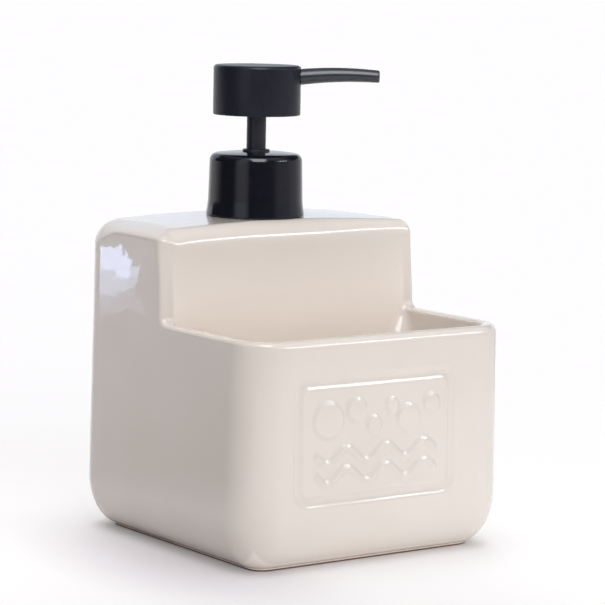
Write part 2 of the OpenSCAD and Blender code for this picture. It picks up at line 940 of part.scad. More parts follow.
head_dome = 0.2;
head_foot_round = 0.4;
dome_shares = [1, 0.8, 0.6, 0.4, 0.2, 0];
head_ceiling = head_top - head_dome - head_roof;
head_inner_radius = head_radius - head_wall;
spout_level = head_top - spout_drop;
spigot_step = 0.35;
spigot_radius = spout_root_radius - spigot_step;

module along_spout(z) {
    at_mouth(z)
        rotate(spout_angle)
            children();
}

module head_shell() {
    flat = head_radius - head_round;
    color(black)
        difference() {
            at_mouth(0)
                rotate_extrude()
                    difference() {
                        polygon(concat(
                            [[0, head_level], [head_radius - head_foot_round, head_level],
                                [head_radius, head_level + head_foot_round],
                                [head_radius, head_top - head_dome]],
                            [for (s = dome_shares)
                                [flat * s, head_top - head_dome * s * s]]
                        ));
                        translate([flat, head_top - head_dome - head_round])
                            round_off(head_round, 0);
                        translate([0, head_level - over])
                            square([head_inner_radius, head_ceiling - head_level + over]);
                    }
            along_spout(spout_level)
                rotate([0, 90, 0])
                    cylinder(h = head_radius + over, r = spigot_radius + fit);
        }
}

hub_radius = 5.4;
socket_boss_radius = 3.9;
socket_boss_reach = 12;
socket_start = 4.4;
rib_thickness = 1.2;
rib_recess = 4;
rib_low_level = head_level + rib_recess;
rib_angles = [60, 180, 300];

module head_hub() {
    top = head_ceiling - fit;
    color(black)
        difference() {
            union() {
                at_mouth(hub_low_level)
                    cylinder(h = top - hub_low_level, r = hub_radius);
                intersection() {
                    along_spout(spout_level)
                        rotate([0, 90, 0])
                            cylinder(h = socket_boss_reach, r = socket_boss_radius);
                    at_mouth(hub_low_level)
                        cylinder(h = top - hub_low_level, r = head_inner_radius);
                }
                for (a = rib_angles)
                    along_spout(rib_low_level)
                        rotate(a)
                            translate([0, -rib_thickness / 2, 0])
                                cube([head_inner_radius - fit * 2, rib_thickness, top - rib_low_level]);
            }
            at_mouth(hub_low_level - over)
                cylinder(h = stem_grip + over + fit, r = stem_radius + fit);
            at_mouth(hub_low_level)
                cylinder(h = spout_level - hub_low_level, r = stem_bore_radius);
            along_spout(spout_level)
                rotate([0, 90, 0])
                    cylinder(h = socket_boss_reach, r = spigot_radius - spout_wall);
            along_spout(spout_level)
                translate([socket_start, 0, 0])
                    rotate([0, 90, 0])
                        cylinder(h = socket_boss_reach + over, r = spigot_radius + fit);
        }
}

spout_sides = 24;
spout_steps = 14;
spout_lift = 0.6;
spout_tip_round = 0.6;
spout_tip_share = 0.6;
spout_arch_share = 0.65;
// Start of the visible part, just clear of the round head
spout_shoulder = head_radius + fit;

function spout_rise(share) =
    spout_lift * share + spout_arch * spout_arch_share * 4 * share * (1 - share);

module spout() {
    run = spout_reach - spout_shoulder;
    bore_tip = spout_tip_radius - spout_wall;
    bore_root = spigot_radius - spout_wall;
    // Stations: place along the spout, rise, outer radius, bore radius
    stations = concat(
        [[socket_start + fit, 0, spigot_radius, bore_root], [spout_shoulder, 0, spigot_radius, bore_root]],
        [for (i = [0 : spout_steps])
            let (s = i / spout_steps)
            [spout_shoulder + fit + (run - spout_tip_round - fit) * s, spout_rise(s),
                spout_root_radius + (spout_tip_radius - spout_root_radius) * s,
                bore_root + (bore_tip - bore_root) * s]],
        [[spout_reach, spout_rise(1), spout_tip_radius - spout_tip_round * spout_tip_share, bore_tip]]
    );
    count = len(stations);
    n = spout_sides;
    points = concat(
        [for (s = stations) for (k = [0 : n - 1])
            [s[0], s[2] * sin(k * 360 / n), s[1] + s[2] * cos(k * 360 / n)]],
        [for (s = stations) for (k = [0 : n - 1])
            [s[0], s[3] * sin(k * 360 / n), s[1] + s[3] * cos(k * 360 / n)]]
    );
    inner = count * n;
    walls = [
        for (i = [0 : count - 2])
            for (k = [0 : n - 1])
                let (p = i * n + k, q = i * n + (k + 1) % n)
                each [
                    [p, p + n, q + n], [p, q + n, q],
                    [inner + p, inner + q + n, inner + p + n], [inner + p, inner + q, inner + q + n]
                ]
    ];
    last = (count - 1) * n;
    ends = [
        for (k = [0 : n - 1])
            let (q = (k + 1) % n)
            each [
                [k, q, inner + q], [k, inner + q, inner + k],
                [last + k, inner + last + q, last + q], [last + k, inner + last + k, inner + last + q]
            ]
    ];
    color(black)
        along_spout(spout_level)
            polyhedron(points, concat(walls, ends));
}

ceramic_body();
neck_insert();
insert_seal();
closure_core();
collar_shell();
neck_gasket();
pump_housing();
guide_ring();
stem();
piston_rod();
piston_seal();
pump_spring();
check_ball();
ball_cage();
dip_tube();
head_shell();
head_hub();
spout();
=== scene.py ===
"""Soap pump caddy: a glazed ceramic tank with an open sponge holder in front, and a black lotion pump."""

import math

import bmesh
import bpy
import numpy as np
from mathutils import Matrix, Vector


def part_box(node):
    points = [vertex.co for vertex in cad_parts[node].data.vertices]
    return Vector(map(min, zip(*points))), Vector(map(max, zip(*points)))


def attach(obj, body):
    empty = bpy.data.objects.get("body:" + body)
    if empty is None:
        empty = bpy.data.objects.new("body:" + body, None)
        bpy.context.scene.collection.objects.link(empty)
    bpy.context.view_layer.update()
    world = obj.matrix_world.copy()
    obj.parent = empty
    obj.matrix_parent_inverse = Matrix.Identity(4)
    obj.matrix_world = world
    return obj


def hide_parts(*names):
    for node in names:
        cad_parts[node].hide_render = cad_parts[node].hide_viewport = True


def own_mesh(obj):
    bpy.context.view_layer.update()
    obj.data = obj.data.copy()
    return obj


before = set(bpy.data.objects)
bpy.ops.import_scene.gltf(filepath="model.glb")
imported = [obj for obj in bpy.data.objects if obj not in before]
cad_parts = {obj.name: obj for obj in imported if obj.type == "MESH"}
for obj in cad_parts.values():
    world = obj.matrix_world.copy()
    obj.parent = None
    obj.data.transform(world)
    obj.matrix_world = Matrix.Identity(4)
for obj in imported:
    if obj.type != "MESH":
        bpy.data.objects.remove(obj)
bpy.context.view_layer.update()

MM = 0.001

# Guards against division by zero
SMALL, TINY = 1e-6, 1e-9

# How far shapes that are joined reach into each other, millimetres
OVERLAP = 1

# Ceramic body, millimetres: half width and depth, corners in plan, and slope of the sides
HALF_W, HALF_D, CORNER, DRAFT = 55.5, 56.3, 15.6, 0.015
# Heights of the tank's top and the holder's rim, and the tank's front face along Y, before it leans
TOP, RIM, STEP = 110.9, 77.7, 1.4
# How the top falls away around the pump's seat
CROWN_DROP, SEAT_R, CROWN_RUN, CROWN_MOST, CROWN_CURVE = 1.35, 17.5, 31.0, 1.3, 1.5
# Rounding of the top's edge, inwards and down: as a rule, at the brow in front, and on the left
CROWN_R, BROW_IN, BROW_DOWN, SIDE_IN, SIDE_DOWN = 8.0, 6.8, 9.6, 13.0, 3.1
# The brow: size, how much smaller it is on the right and left, and where it is full and ends along Y
BROW_SIZE, BROW_RIGHT, BROW_LEFT = 0.86, 0.3, 0.08
BROW_FULL, BROW_END, BROW_LATER = 8, 16, 24
# Rounding of the tank's front edges and of the rim
SHOULDER, SHOULDER_SOFT = 2.2, 3.8
RIM_IN, RIM_SIDE, RIM_FRONT = 1.3, 1.2, 3.2
# How far the tank's front leans forward, and where above the rim the lean starts and is full
FRONT_LEAN, LEAN_START, LEAN_FULL = 1.1, 26, 2
# Rounding towards the foot, and the foot ring
BELLY_IN, BELLY_UP = 12.3, 18.6
FOOT_H, FOOT_IN, FOOT_WIDE, FOOT_EDGE, FOOT_BLEND = 0.6, 9.8, 5.0, 0.2, 0.3
# Inside of the holder, and the hollow curves where it meets the tank
CAVITY_X, CAVITY_FRONT, CAVITY_CORNER = 49.5, -50.3, 9.6
CAVITY_FLOOR, CAVITY_FILLET = 8.2, 5.0
NOOK_HIGH, NOOK_LOW, NOOK_RUN = 2.6, 10.0, 12.0
# Mouth and inside of the tank
MOUTH_Y, MOUTH_R, MOUTH_EDGE = 24.2, 13.5, 0.7
HOLLOW_X, HOLLOW_FRONT, HOLLOW_BACK = 48.84, 6.4, 49.64
HOLLOW_LOW, HOLLOW_TOP, HOLLOW_CORNER, HOLLOW_EDGE = 8.2, 105.9, 8.0, 4.0
# The body's roundings change from the first of these places to the second, along X, Y or Z
BROW_END_X, BROW_LATER_X = (-54, -42), (10, 45)
BROW_RIGHT_X, BROW_LEFT_X = (8, 52), (-5, -50)
SIDE_X, SIDE_Y = (-36, -50), (46, 30)
SHOULDER_X, SHOULDER_Z = (-20, -45), (92, 107)
RIM_X, RIM_Y = (-50, -38), (-42, -52)
# The body's uneven surface: height, and two crossing waves, each as rates along X, Y and Z and a start
UNEVEN = [
    (0.075, (0.115, 0.0, 0.05, 1.3), (0.0, -0.04, 0.085, 0.4)),
    (0.06, (0.0, 0.13, 0.07, 2.1), (0.05, 0.0, 0.1, 1.7)),
    (0.022, (0.31, -0.22, 0.0, 0.9), (0.19, 0.0, 0.27, 0.0)),
]
UNEVEN_FRONT, UNEVEN_SHIFT = 0.6, 40
# Grid that the body's surface is drawn on: places and steps, finer along the edges
GRID_X = [(-56.6, 0.8), (-45, 1.7), (45, 0.8), (56.6, 0)]
GRID_Y = [(-57.4, 0.8), (-44, 1.8), (-4, 0.85), (13, 1.6), (43, 0.8), (57.4, 0)]
GRID_Z = [(-0.35, 0.25), (2.4, 1.15), (21, 1.7), (72, 0.75), (87, 1.5), (99, 0.75), (112, 0)]

# Plaque on the front face, millimetres
PLAQUE_X, PLAQUE_Z, PLAQUE_W, PLAQUE_H = -4.2, 43.5, 64.0, 39.6
GROOVE_R, GROOVE_DEPTH, GROOVE_HALF, GROOVE_SOFT = 4.4, 0.62, 1.4, 1.05
RELIEF, RELIEF_SOFT, RELIEF_SWELL, SWELL_RUN = 0.65, 1.0, 0.25, 4
# Its relief fades in between two depths. Faces in front of a third, with a margin round it, are cut finer
RELIEF_Y, PLAQUE_Y, PLAQUE_MARGIN, PLAQUE_CUTS = (-53.5, -54.5), -54, 3, 3
# Bubbles: place in shares of the plaque's half width and half height, and radius in shares of its half height
BUBBLES = [
    (-0.62, 0.36, 0.31), (-0.26, 0.5, 0.2), (-0.03, 0.22, 0.15),
    (0.2, 0.52, 0.13), (0.42, 0.28, 0.24), (0.72, 0.5, 0.17),
]
# Heights of the waves in shares of the plaque's half height
WAVE_LEVELS = (-0.26, -0.6)
# Their count, reach in shares of its half width, width and rise
WAVE_COUNT, WAVE_HALF, WAVE_WIDTH, WAVE_RISE = 3, 0.76, 1.9, 2.3

# Pump: radii, and heights above the mouth, millimetres
COLLAR_TOP_R, COLLAR_LOW_R, COLLAR_FOOT_R = 16.45, 16.8, 17.5
COLLAR_BORE, COLLAR_HOLE, SKIRT_R = 14.95, 4.95, 16.1
COLLAR_H, COLLAR_ROOF, COLLAR_FOOT_Z, SKIRT_Z, SKIRT_TOP = 22.8, 21.3, 0.3, 1.5, 3.2
COLLAR_ROUND, COLLAR_TURN, COLLAR_LIP, COLLAR_DOME = 2.6, 82, 0.2, 0.6
FLARE_H, FLARE_CURVE, FLARE_STEPS, DOME_STEPS = 6.0, 1.5, 12, 10
RING_BORE, RING_SKIRT, RING_FLANGE, RING_NOSE, RING_ROUND = 3.48, 5.85, 7.5, 4.8, 0.3
RING_LOW, RING_SEAT, RING_SHELF, RING_TOP = 10.6, 18.65, 19.65, 23.6
STEM_R, STEM_BORE, STEM_LOW, STEM_TOP, STEM_EDGE = 3.43, 2.0, 10.0, 45.0, 0.2
HEAD_R, HEAD_BORE, HEAD_LOW, HEAD_TOP, HEAD_CEILING = 15.5, 14.2, 35.8, 53.4, 52.2
HEAD_ROUND, HEAD_TURN, HEAD_FOOT, HEAD_DOME = 1.2, 88, 0.4, 0.06
SPOUT_TURN, SPOUT_DROP, SPOUT_START, SPOUT_SHOULDER, SPOUT_REACH = -35.6, 4.0, 4.45, 15.55, 43.3
SPIGOT_R, SPOUT_ROOT_R, SPOUT_TIP_R, SPOUT_BORE_ROOT, SPOUT_BORE_TIP = 2.5, 2.85, 2.2, 1.7, 1.4
SPOUT_LIFT, SPOUT_ARCH, SPOUT_STEPS, BORE_STEPS = 0.6, 0.65, 28, 14
SPOUT_TIP_ROUND, SPOUT_TIP_TURN, SPOUT_TIP_INSET = 0.6, 15, 0.2
# Return spring: middle radius, wire, turns, and the pitch of its end turns as a share of the wire
SPRING_R, SPRING_WIRE, SPRING_TURNS, SPRING_END = 4.3, 0.9, 9, 1.6

# Glaze and clay: linear colours, gloss, and widths of their patches in millimetres
GLAZE_THIN, GLAZE_THICK, GLAZE_PAINTED_LIGHT = (0.79, 0.727, 0.656), (0.85, 0.802, 0.737), (0.985, 0.91, 0.83)
CLAY, CLAY_DARK = (0.24, 0.125, 0.075), (0.16, 0.08, 0.045)
GLAZE_ROUGH, GLAZE_SPREAD, CLAY_ROUGHER = 0.22, 0.06, 0.6
GLAZE_IOR, COAT_IOR, COAT_ROUGH = 1.3, 1.52, 0.035
TONE_WIDTH, GLOSS_WIDTH, CLAY_WIDTH = 40.0, 9.0, 1.2
RIPPLE_WIDTH, RIPPLE_DEPTH, RIPPLE_STRENGTH = 10.5, 0.6, 0.13
# The clay is bare up to the first of these heights and glazed from the second
BARE_Z = (0.45, 0.7)
# Painted light: the glaze is lighter and warmer inside the holder and on the tank's front, from the first to
# the second of these places at each of its sides
PAINTED_LIGHT_X, PAINTED_LIGHT_FRONT, PAINTED_LIGHT_BACK, PAINTED_LIGHT_Z = (50.2, 48.5), (-50.8, -49.5), (3.5, 2.0), (106.0, 78.0)

# Plastics and rubbers: linear colour, roughness and its spread, width and depth of the grain in millimetres,
# share of the light that scatters inside, and refractive index
PLASTICS = {
    "gloss_black": ((0.0065, 0.007, 0.013), 0.12, 0.02, 0.9, 0.004, 0.0, 1.6),
    "satin_black": ((0.0125, 0.0145, 0.0255), 0.32, 0.03, 0.35, 0.01, 0.0, 1.42),
    # The spout's black is lighter than the head's: a painted sheen
    "spout_black_painted_sheen": ((0.034, 0.038, 0.052), 0.24, 0.02, 1.0, 0.004, 0.0, 1.64),
    "inner_black": ((0.024, 0.027, 0.040), 0.36, 0.03, 1.0, 0.004, 0.0, 1.5),
    "milky_polypropylene": ((0.78, 0.78, 0.76), 0.36, 0.05, 0.6, 0.02, 0.12, 1.5),
    "milky_polyethylene": ((0.8, 0.8, 0.78), 0.3, 0.06, 1.2, 0.03, 0.15, 1.5),
    "grey_silicone": ((0.3, 0.3, 0.31), 0.55, 0.06, 0.3, 0.02, 0.05, 1.5),
    "pale_elastomer": ((0.75, 0.75, 0.74), 0.5, 0.05, 0.3, 0.02, 0.1, 1.5),
}
# Their mottled colour and cloudy gloss, and how far light scatters inside, millimetres
MOTTLE, MOTTLE_WIDTH, CLOUD_WIDTH, CLOUD_RANGE = 0.18, 6.0, 3.0, (0.3, 0.7)
GRAIN_STRENGTH, SCATTER = 0.5, 2.0
# Stainless steel: linear colours and roughness, then its drawn grain
STEEL_DARK, STEEL_LIGHT, STEEL_ROUGH = (0.52, 0.52, 0.53), (0.66, 0.66, 0.665), (0.18, 0.34)
DRAWN_WIDTH, DRAWN_RANGE, DRAWN_DEPTH, DRAWN_STRENGTH = 0.8, (0.2, 0.8), 0.01, 0.4
# Material of each solid, and of the piece that stands for it
FINISHES = {
    "neck_insert": "inner_black", "closure_core": "inner_black", "head_hub": "inner_black",
    "guide_ring": "inner_black", "stem": "inner_black", "collar_shell": "gloss_black",
    "head_shell": "satin_black", "spout": "spout_black_painted_sheen", "dip_tube": "milky_polyethylene",
    "pump_housing": "milky_polypropylene", "piston_rod": "milky_polypropylene",
    "ball_cage": "milky_polypropylene", "insert_seal": "grey_silicone",
    "neck_gasket": "pale_elastomer", "piston_seal": "pale_elastomer",
    "pump_spring": "stainless_steel", "check_ball": "stainless_steel",
}

# Surroundings: brightness for diffuse light, as a constant and a slope along X, Y and Z
SKY_BASE, SKY_SLOPE, SKY_LEAST = -0.39, (0.0, -0.15, 0.66), 0.0
SKY_WHITE, SKY_MAUVE, SKY_BLUE = (1.0, 1.0, 1.0), (1.0, 0.955, 0.985), (0.92, 0.975, 1.08)
# They turn mauve towards the left over this range, and have this brightness to the eye
SKY_TURN, SKY_SEEN = (-0.4, 0.6), 1.05
# Broad soft lights overhead, in front, behind and on the left: direction, strength and how tight each is
LAMPS = [
    ((0.0, 0.0, 1.0), 3.95, 11.0), ((-0.15, -0.978, 0.141), 2.99, 7.7),
    ((0.408, 0.777, 0.48), 2.7, 12.0), ((-0.93, -0.3, 0.2), 0.2, 4.0),
]
# What shines back from gloss: a dim room, lighter high up, and a white backdrop behind the object
ROOM_DARK, ROOM_HIGH, ROOM_RISE = 0.05, 0.25, (0.55, 0.95)
BACKDROP, BACKDROP_RIGHT, BACKDROP_HIGH = 0.84, 0.5, 0.75
BACKDROP_TOP, BACKDROP_LIFT = (0.27, 0.34), 0.25
# The backdrop's ranges, as parts of a direction of length 1: its spread and its dimmer right, then its raised
# top, its left end and its dimmer upper part
SPREAD_TURN, RIGHT_TURN = (-0.1, 0.55), (0.2, 0.9)
LIFT_TURN, END_TURN, HIGH_RISE = (-0.59, -0.49), (0.3, 0.42), (0.12, 0.35)
# Tall softboxes in the gloss: turn from the camera, brightness, and half widths of core and edge in degrees
SOFTBOXES = [(-33.0, 0.62, 1.0, 22.0), (78.0, 0.28, 14.0, 36.0)]
# Soft lights: turn and lift from the camera in degrees, size in metres and power, then their aim and distance
PANELS = {"right_box": (75, 26, (0.7, 0.12), 2.4), "top_box": (9.2, 48, (0.8, 1.25), 15.0)}
PANEL_AIM, PANEL_AWAY = (0, 0, 0.08), 1.5
# Window that shines on the left face, metres
WINDOW_AIM, WINDOW_WAY, WINDOW_AWAY = (-0.055, 0.031, 0.098), (-0.53, 0.85, -0.085), 0.3
WINDOW_LEVEL, WINDOW_BLUE = 18.0, (0.56, 0.68, 1.0)
# Its panes: place to the right and up, width and height, and share of the level
WINDOW_PANES = [
    (-0.009, 0.0, 0.0246, 0.004, 0.95), (-0.009, -0.006, 0.0246, 0.008, 0.9),
    (-0.009, -0.015, 0.0246, 0.010, 0.42), (-0.009, -0.026, 0.0246, 0.012, 0.15),
    (0.0077, -0.0065, 0.0088, 0.007, 0.5), (0.0077, -0.0145, 0.0088, 0.009, 0.34),
    (0.0077, -0.025, 0.0088, 0.012, 0.13),
]

# Floor, metres: its half width, and its white as it is seen
FLOOR_REACH, FLOOR_WHITE = 30.0, (0.985, 0.985, 0.99)
# In reflections it turns into the room between two distances. A distance is first multiplied by one factor
# away from a side and by the other towards it. The side is in degrees from the camera
FLOOR_NEAR, FLOOR_FAR, FLOOR_SHRINK = 0.2, 0.5, (2.2, 0.55)
FLOOR_SIDE, FLOOR_TURN = 61.0, (-0.35, 0.35)
# It takes on the softboxes' full brightness between two distances, and has a share of it nearer
BOX_NEAR, BOX_FAR, BOX_LEAST = 0.7, 0.95, 0.25
# Share of its brightness that no shadow takes, and the share that shadows reach
FLOOR_GLOW, FLOOR_LIT = 0.13, 0.84
# Light that it throws back at the object on its left and elsewhere, and where along X the two meet
FLOOR_LEFT, FLOOR_FRONT, FLOOR_SPLIT = (0.70, 0.687, 0.694), (0.95, 0.945, 0.95), (-0.06, -0.03)
# A painted shadow on it, left of the object: place, reach, factor on distances along Y, and colour
PAINTED_SHADOW_X, PAINTED_SHADOW_Y, PAINTED_SHADOW_REACH, PAINTED_SHADOW_STRETCH, FLOOR_PAINTED_SHADOW = -0.063, -0.022, 0.048, 0.45, (0.83, 0.80, 0.825)


def outer_edge(a, b, r):
    """Distance field of where two faces meet in an outer edge of radius r."""
    return np.minimum(np.maximum(a, b), -r) + np.hypot(np.maximum(a + r, 0), np.maximum(b + r, 0))


def outer_oval(a, b, ra, rb):
    """Outer edge rounded to a quarter ellipse, ra deep along face a's normal and rb along b's."""
    u, v = np.maximum(a / ra + 1, 0), np.maximum(b / rb + 1, 0)
    s = np.hypot(u, v)
    scale = (ra * u * u + rb * v * v) / np.maximum(s * s, TINY)
    return np.where(s > SMALL, (s - 1) * scale, np.maximum(a, b))


def inner_edge(a, b, r):
    """Distance field of where two faces meet in a hollow curve of radius r."""
    return np.maximum(np.minimum(a, b), r) - np.hypot(np.maximum(r - a, 0), np.maximum(r - b, 0))


def soft_min(a, b, k):
    """Joins two fields, with a hollow blend of about k between them."""
    h = np.maximum(k - np.abs(a - b), 0) / k
    return np.minimum(a, b) - h * h * k / 4


def ease(x, start, end):
    """Smooth step from 0 at start to 1 at end."""
    t = np.clip((x - start) / (end - start), 0, 1)
    return t * t * (3 - 2 * t)


def round_plan(x, y, half_x, half_y, r):
    """Distance field of a rectangle with rounded corners."""
    qx, qy = np.abs(x) - (half_x - r), np.abs(y) - (half_y - r)
    return np.hypot(np.maximum(qx, 0), np.maximum(qy, 0)) + np.minimum(np.maximum(qx, qy), 0) - r


def unevenness(x, y, z):
    """Slow waves of a hand-finished cast surface under glaze."""
    height = 0.0
    for swell, *waves in UNEVEN:
        for along_x, along_y, along_z, start in waves:
            swell = swell * np.sin(along_x * x + along_y * y + along_z * z + start)
        height = height + swell
    return height


def holder_inside(x, y, z):
    """The open sponge holder's hollow, without its back."""
    walls = outer_edge(np.abs(x) - CAVITY_X, CAVITY_FRONT - y, CAVITY_CORNER)
    return outer_edge(walls, CAVITY_FLOOR - z, CAVITY_FILLET)


def tank_inside(x, y, z):
    """The closed soap tank's hollow and its mouth."""
    middle, half = (HOLLOW_FRONT + HOLLOW_BACK) / 2, (HOLLOW_BACK - HOLLOW_FRONT) / 2
    hollow = outer_edge(
        round_plan(x, y - middle, HOLLOW_X, half, HOLLOW_CORNER),
        np.abs(z - (HOLLOW_LOW + HOLLOW_TOP) / 2) - (HOLLOW_TOP - HOLLOW_LOW) / 2, HOLLOW_EDGE,
    )
    return np.minimum(hollow, np.maximum(np.hypot(x, y - MOUTH_Y) - MOUTH_R, HOLLOW_TOP - OVERLAP - z))


def foot_ring(plan, z):
    """The bare ring under the body, which reaches up into it."""
    foot = outer_edge(plan + FOOT_IN, -z, FOOT_EDGE)
    foot = np.maximum(foot, -(plan + FOOT_IN + FOOT_WIDE))
    return np.maximum(foot, z - FOOT_H - OVERLAP)


def top_rounding(x, y):
    """How far the rounding of the top's edge reaches inwards and down: an oval brow, and a flat left edge."""
    later = BROW_LATER * ease(x, *BROW_LATER_X)
    at_front = ease(y, BROW_END + later, BROW_FULL) * ease(x, *BROW_END_X)
    at_left = ease(x, *SIDE_X) * ease(y, *SIDE_Y)
    brow = BROW_SIZE - BROW_RIGHT * ease(x, *BROW_RIGHT_X) - BROW_LEFT * ease(x, *BROW_LEFT_X)
    inward, down = CROWN_R + (SIDE_IN - CROWN_R) * at_left, CROWN_R + (SIDE_DOWN - CROWN_R) * at_left
    return inward + (BROW_IN * brow - inward) * at_front, down + (BROW_DOWN * brow - down) * at_front


def ceramic_field(x, y, z):
    """Signed distance, in millimetres, to the ceramic body without its plaque."""
    plan = round_plan(x, y, HALF_W, HALF_D, CORNER)
    wall = outer_oval(plan + DRAFT * z + unevenness(x, y, z), FOOT_H - z, BELLY_IN, BELLY_UP)
    lean = FRONT_LEAN * ease(z, RIM + LEAN_START, RIM + LEAN_FULL)
    front = STEP + DRAFT * (z - RIM) - lean - y + UNEVEN_FRONT * unevenness(x + UNEVEN_SHIFT, y, z)
    away = np.hypot(x, y - MOUTH_Y)
    drop = CROWN_DROP * np.clip((away - SEAT_R) / CROWN_RUN, 0, CROWN_MOST) ** CROWN_CURVE
    nook = NOOK_HIGH + (NOOK_LOW - NOOK_HIGH) * ease(z, RIM, RIM - NOOK_RUN)
    core = inner_edge(outer_edge(-holder_inside(x, y, z), z - RIM, RIM_IN), front, nook)
    shoulder = SHOULDER + (SHOULDER_SOFT - SHOULDER) * ease(z, *SHOULDER_Z) * ease(x, *SHOULDER_X)
    rim = RIM_SIDE + (RIM_FRONT - RIM_SIDE) * ease(y, *RIM_Y) * ease(x, *RIM_X)
    rounding = rim + (shoulder - rim) * ease(z, RIM - RIM_FRONT, RIM + NOOK_HIGH)
    body = outer_oval(outer_edge(core, wall, rounding), z - TOP + drop, *top_rounding(x, y))
    body = outer_edge(body, -tank_inside(x, y, z), MOUTH_EDGE)
    return soft_min(body, foot_ring(plan, z), FOOT_BLEND)


def relief_height(x, z):
    """Height of the plaque's relief over the front face, in millimetres: groove, bubbles and waves."""
    px, pz = x - PLAQUE_X, z - PLAQUE_Z
    half_w, half_h = PLAQUE_W / 2, PLAQUE_H / 2
    ring = np.abs(round_plan(px, pz, half_w, half_h, GROOVE_R))
    groove = GROOVE_DEPTH * ease(ring, GROOVE_HALF + GROOVE_SOFT, GROOVE_HALF - GROOVE_SOFT)
    raised = np.full_like(groove, -np.inf)
    for cx, cz, r in BUBBLES:
        away = np.hypot(px - cx * half_w, pz - cz * half_h)
        raised = np.maximum(raised, r * half_h - away)
    reach = WAVE_HALF * half_w
    pitch = math.pi * WAVE_COUNT / reach
    wx = np.clip(px, -reach, reach)
    swing, tilt = WAVE_RISE * np.sin(wx * pitch), WAVE_RISE * pitch * np.cos(wx * pitch)
    for level in WAVE_LEVELS:
        aside = (pz - level * half_h - swing) / np.sqrt(1 + tilt * tilt)
        raised = np.maximum(raised, WAVE_WIDTH / 2 - np.hypot(aside, px - wx))
    dome = ease(raised, -RELIEF_SOFT, RELIEF_SOFT)
    swell = 1 + RELIEF_SWELL * np.clip(raised / SWELL_RUN, 0, 1)
    return RELIEF * dome * swell - groove


def plaque_field(x, y, z):
    """Signed distance, in millimetres, to the ceramic body with its plaque."""
    return ceramic_field(x, y, z) - relief_height(x, z) * ease(y, *RELIEF_Y)


def grid_lines(stops):
    """Grid positions from (start, step) pairs and an end."""
    runs = []
    for (start, step), (end, _) in zip(stops[:-1], stops[1:]):
        runs.append(np.linspace(start, end, max(1, round((end - start) / step)), endpoint=False))
    return np.concatenate(runs + [[stops[-1][0]]])


def surface_net(field, xs, ys, zs, slab=12):
    """Surface at the zero level of a field on a grid: a vertex in each cell that it crosses, and quads."""
    values = np.empty((len(xs), len(ys), len(zs)), np.float32)
    for k in range(0, len(zs), slab):
        gx, gy, gz = np.meshgrid(xs, ys, zs[k:k + slab], indexing="ij")
        values[:, :, k:k + slab] = field(gx, gy, gz)
    inside = values < 0
    count = np.zeros(tuple(n - 1 for n in inside.shape), np.int8)
    corners = [(i, j, k) for i in (0, 1) for j in (0, 1) for k in (0, 1)]
    for i, j, k in corners:
        count += inside[i:len(xs) - 1 + i, j:len(ys) - 1 + j, k:len(zs) - 1 + k]
    cells = np.argwhere((count > 0) & (count < len(corners)))
    number = np.full(count.shape, -1, np.int64)
    number[tuple(cells.T)] = np.arange(len(cells))
    total, hits = np.zeros((len(cells), 3)), np.zeros(len(cells))
    axes = (xs, ys, zs)
    for a in corners:
        for axis in range(3):
            if a[axis]:
                continue
            b = tuple(1 if n == axis else v for n, v in enumerate(a))
            na, nb = cells + a, cells + b
            va, vb = values[tuple(na.T)], values[tuple(nb.T)]
            cross = (va < 0) != (vb < 0)
            t = np.where(cross, va / np.where(cross, va - vb, 1), 0)
            point = np.stack([axes[n][na[:, n]] for n in range(3)], 1).astype(float)
            point[:, axis] += t * (axes[axis][nb[:, axis]] - axes[axis][na[:, axis]])
            total[cross] += point[cross]
            hits += cross
    points = total / hits[:, None]
    quads = []
    for axis in range(3):
        u, v = (axis + 1) % 3, (axis + 2) % 3
        low = [slice(1, -1)] * 3
        low[axis] = slice(0, -1)
        high = list(low)
        high[axis] = slice(1, None)
        a, b = inside[tuple(low)], inside[tuple(high)]
        at = np.argwhere(a != b) + [0 if n == axis else 1 for n in range(3)]
        out = inside[tuple(at.T)]
        steps = [(0, 0), (-1, 0), (-1, -1), (0, -1)]
        around = []
        for du, dv in steps:
            cell = at.copy()
            cell[:, u] += du
            cell[:, v] += dv
            around.append(number[tuple(cell.T)])
        around = np.stack(around, 1)
        around[~out] = around[~out][:, ::-1]
        quads.append(around)
    return points, np.concatenate(quads)


def slope(field, p, h=0.02):
    """How a field changes along X, Y and Z at points."""
    parts = []
    for axis in range(3):
        step = np.zeros(3)
        step[axis] = h
        a, b = p + step, p - step
        parts.append((field(*a.T) - field(*b.T)) / (2 * h))
    return np.stack(parts, 1)


def settle(field, points, rounds=4, most=0.6, least_slope=0.05):
    """Moves points onto the field's zero level. Returns them and the surface's normals there."""
    for _ in range(rounds):
        g = slope(field, points)
        move = field(*points.T)[:, None] * g / np.maximum((g * g).sum(1), least_slope)[:, None]
        size = np.linalg.norm(move, axis=1)
        move *= np.minimum(1, most / np.maximum(size, TINY))[:, None]
        points = points - move
    g = slope(field, points)
    return points, g / np.maximum(np.linalg.norm(g, axis=1), TINY)[:, None]


def new_object(name, data):
    obj = bpy.data.objects.new(name, data)
    bpy.context.scene.collection.objects.link(obj)
    return obj


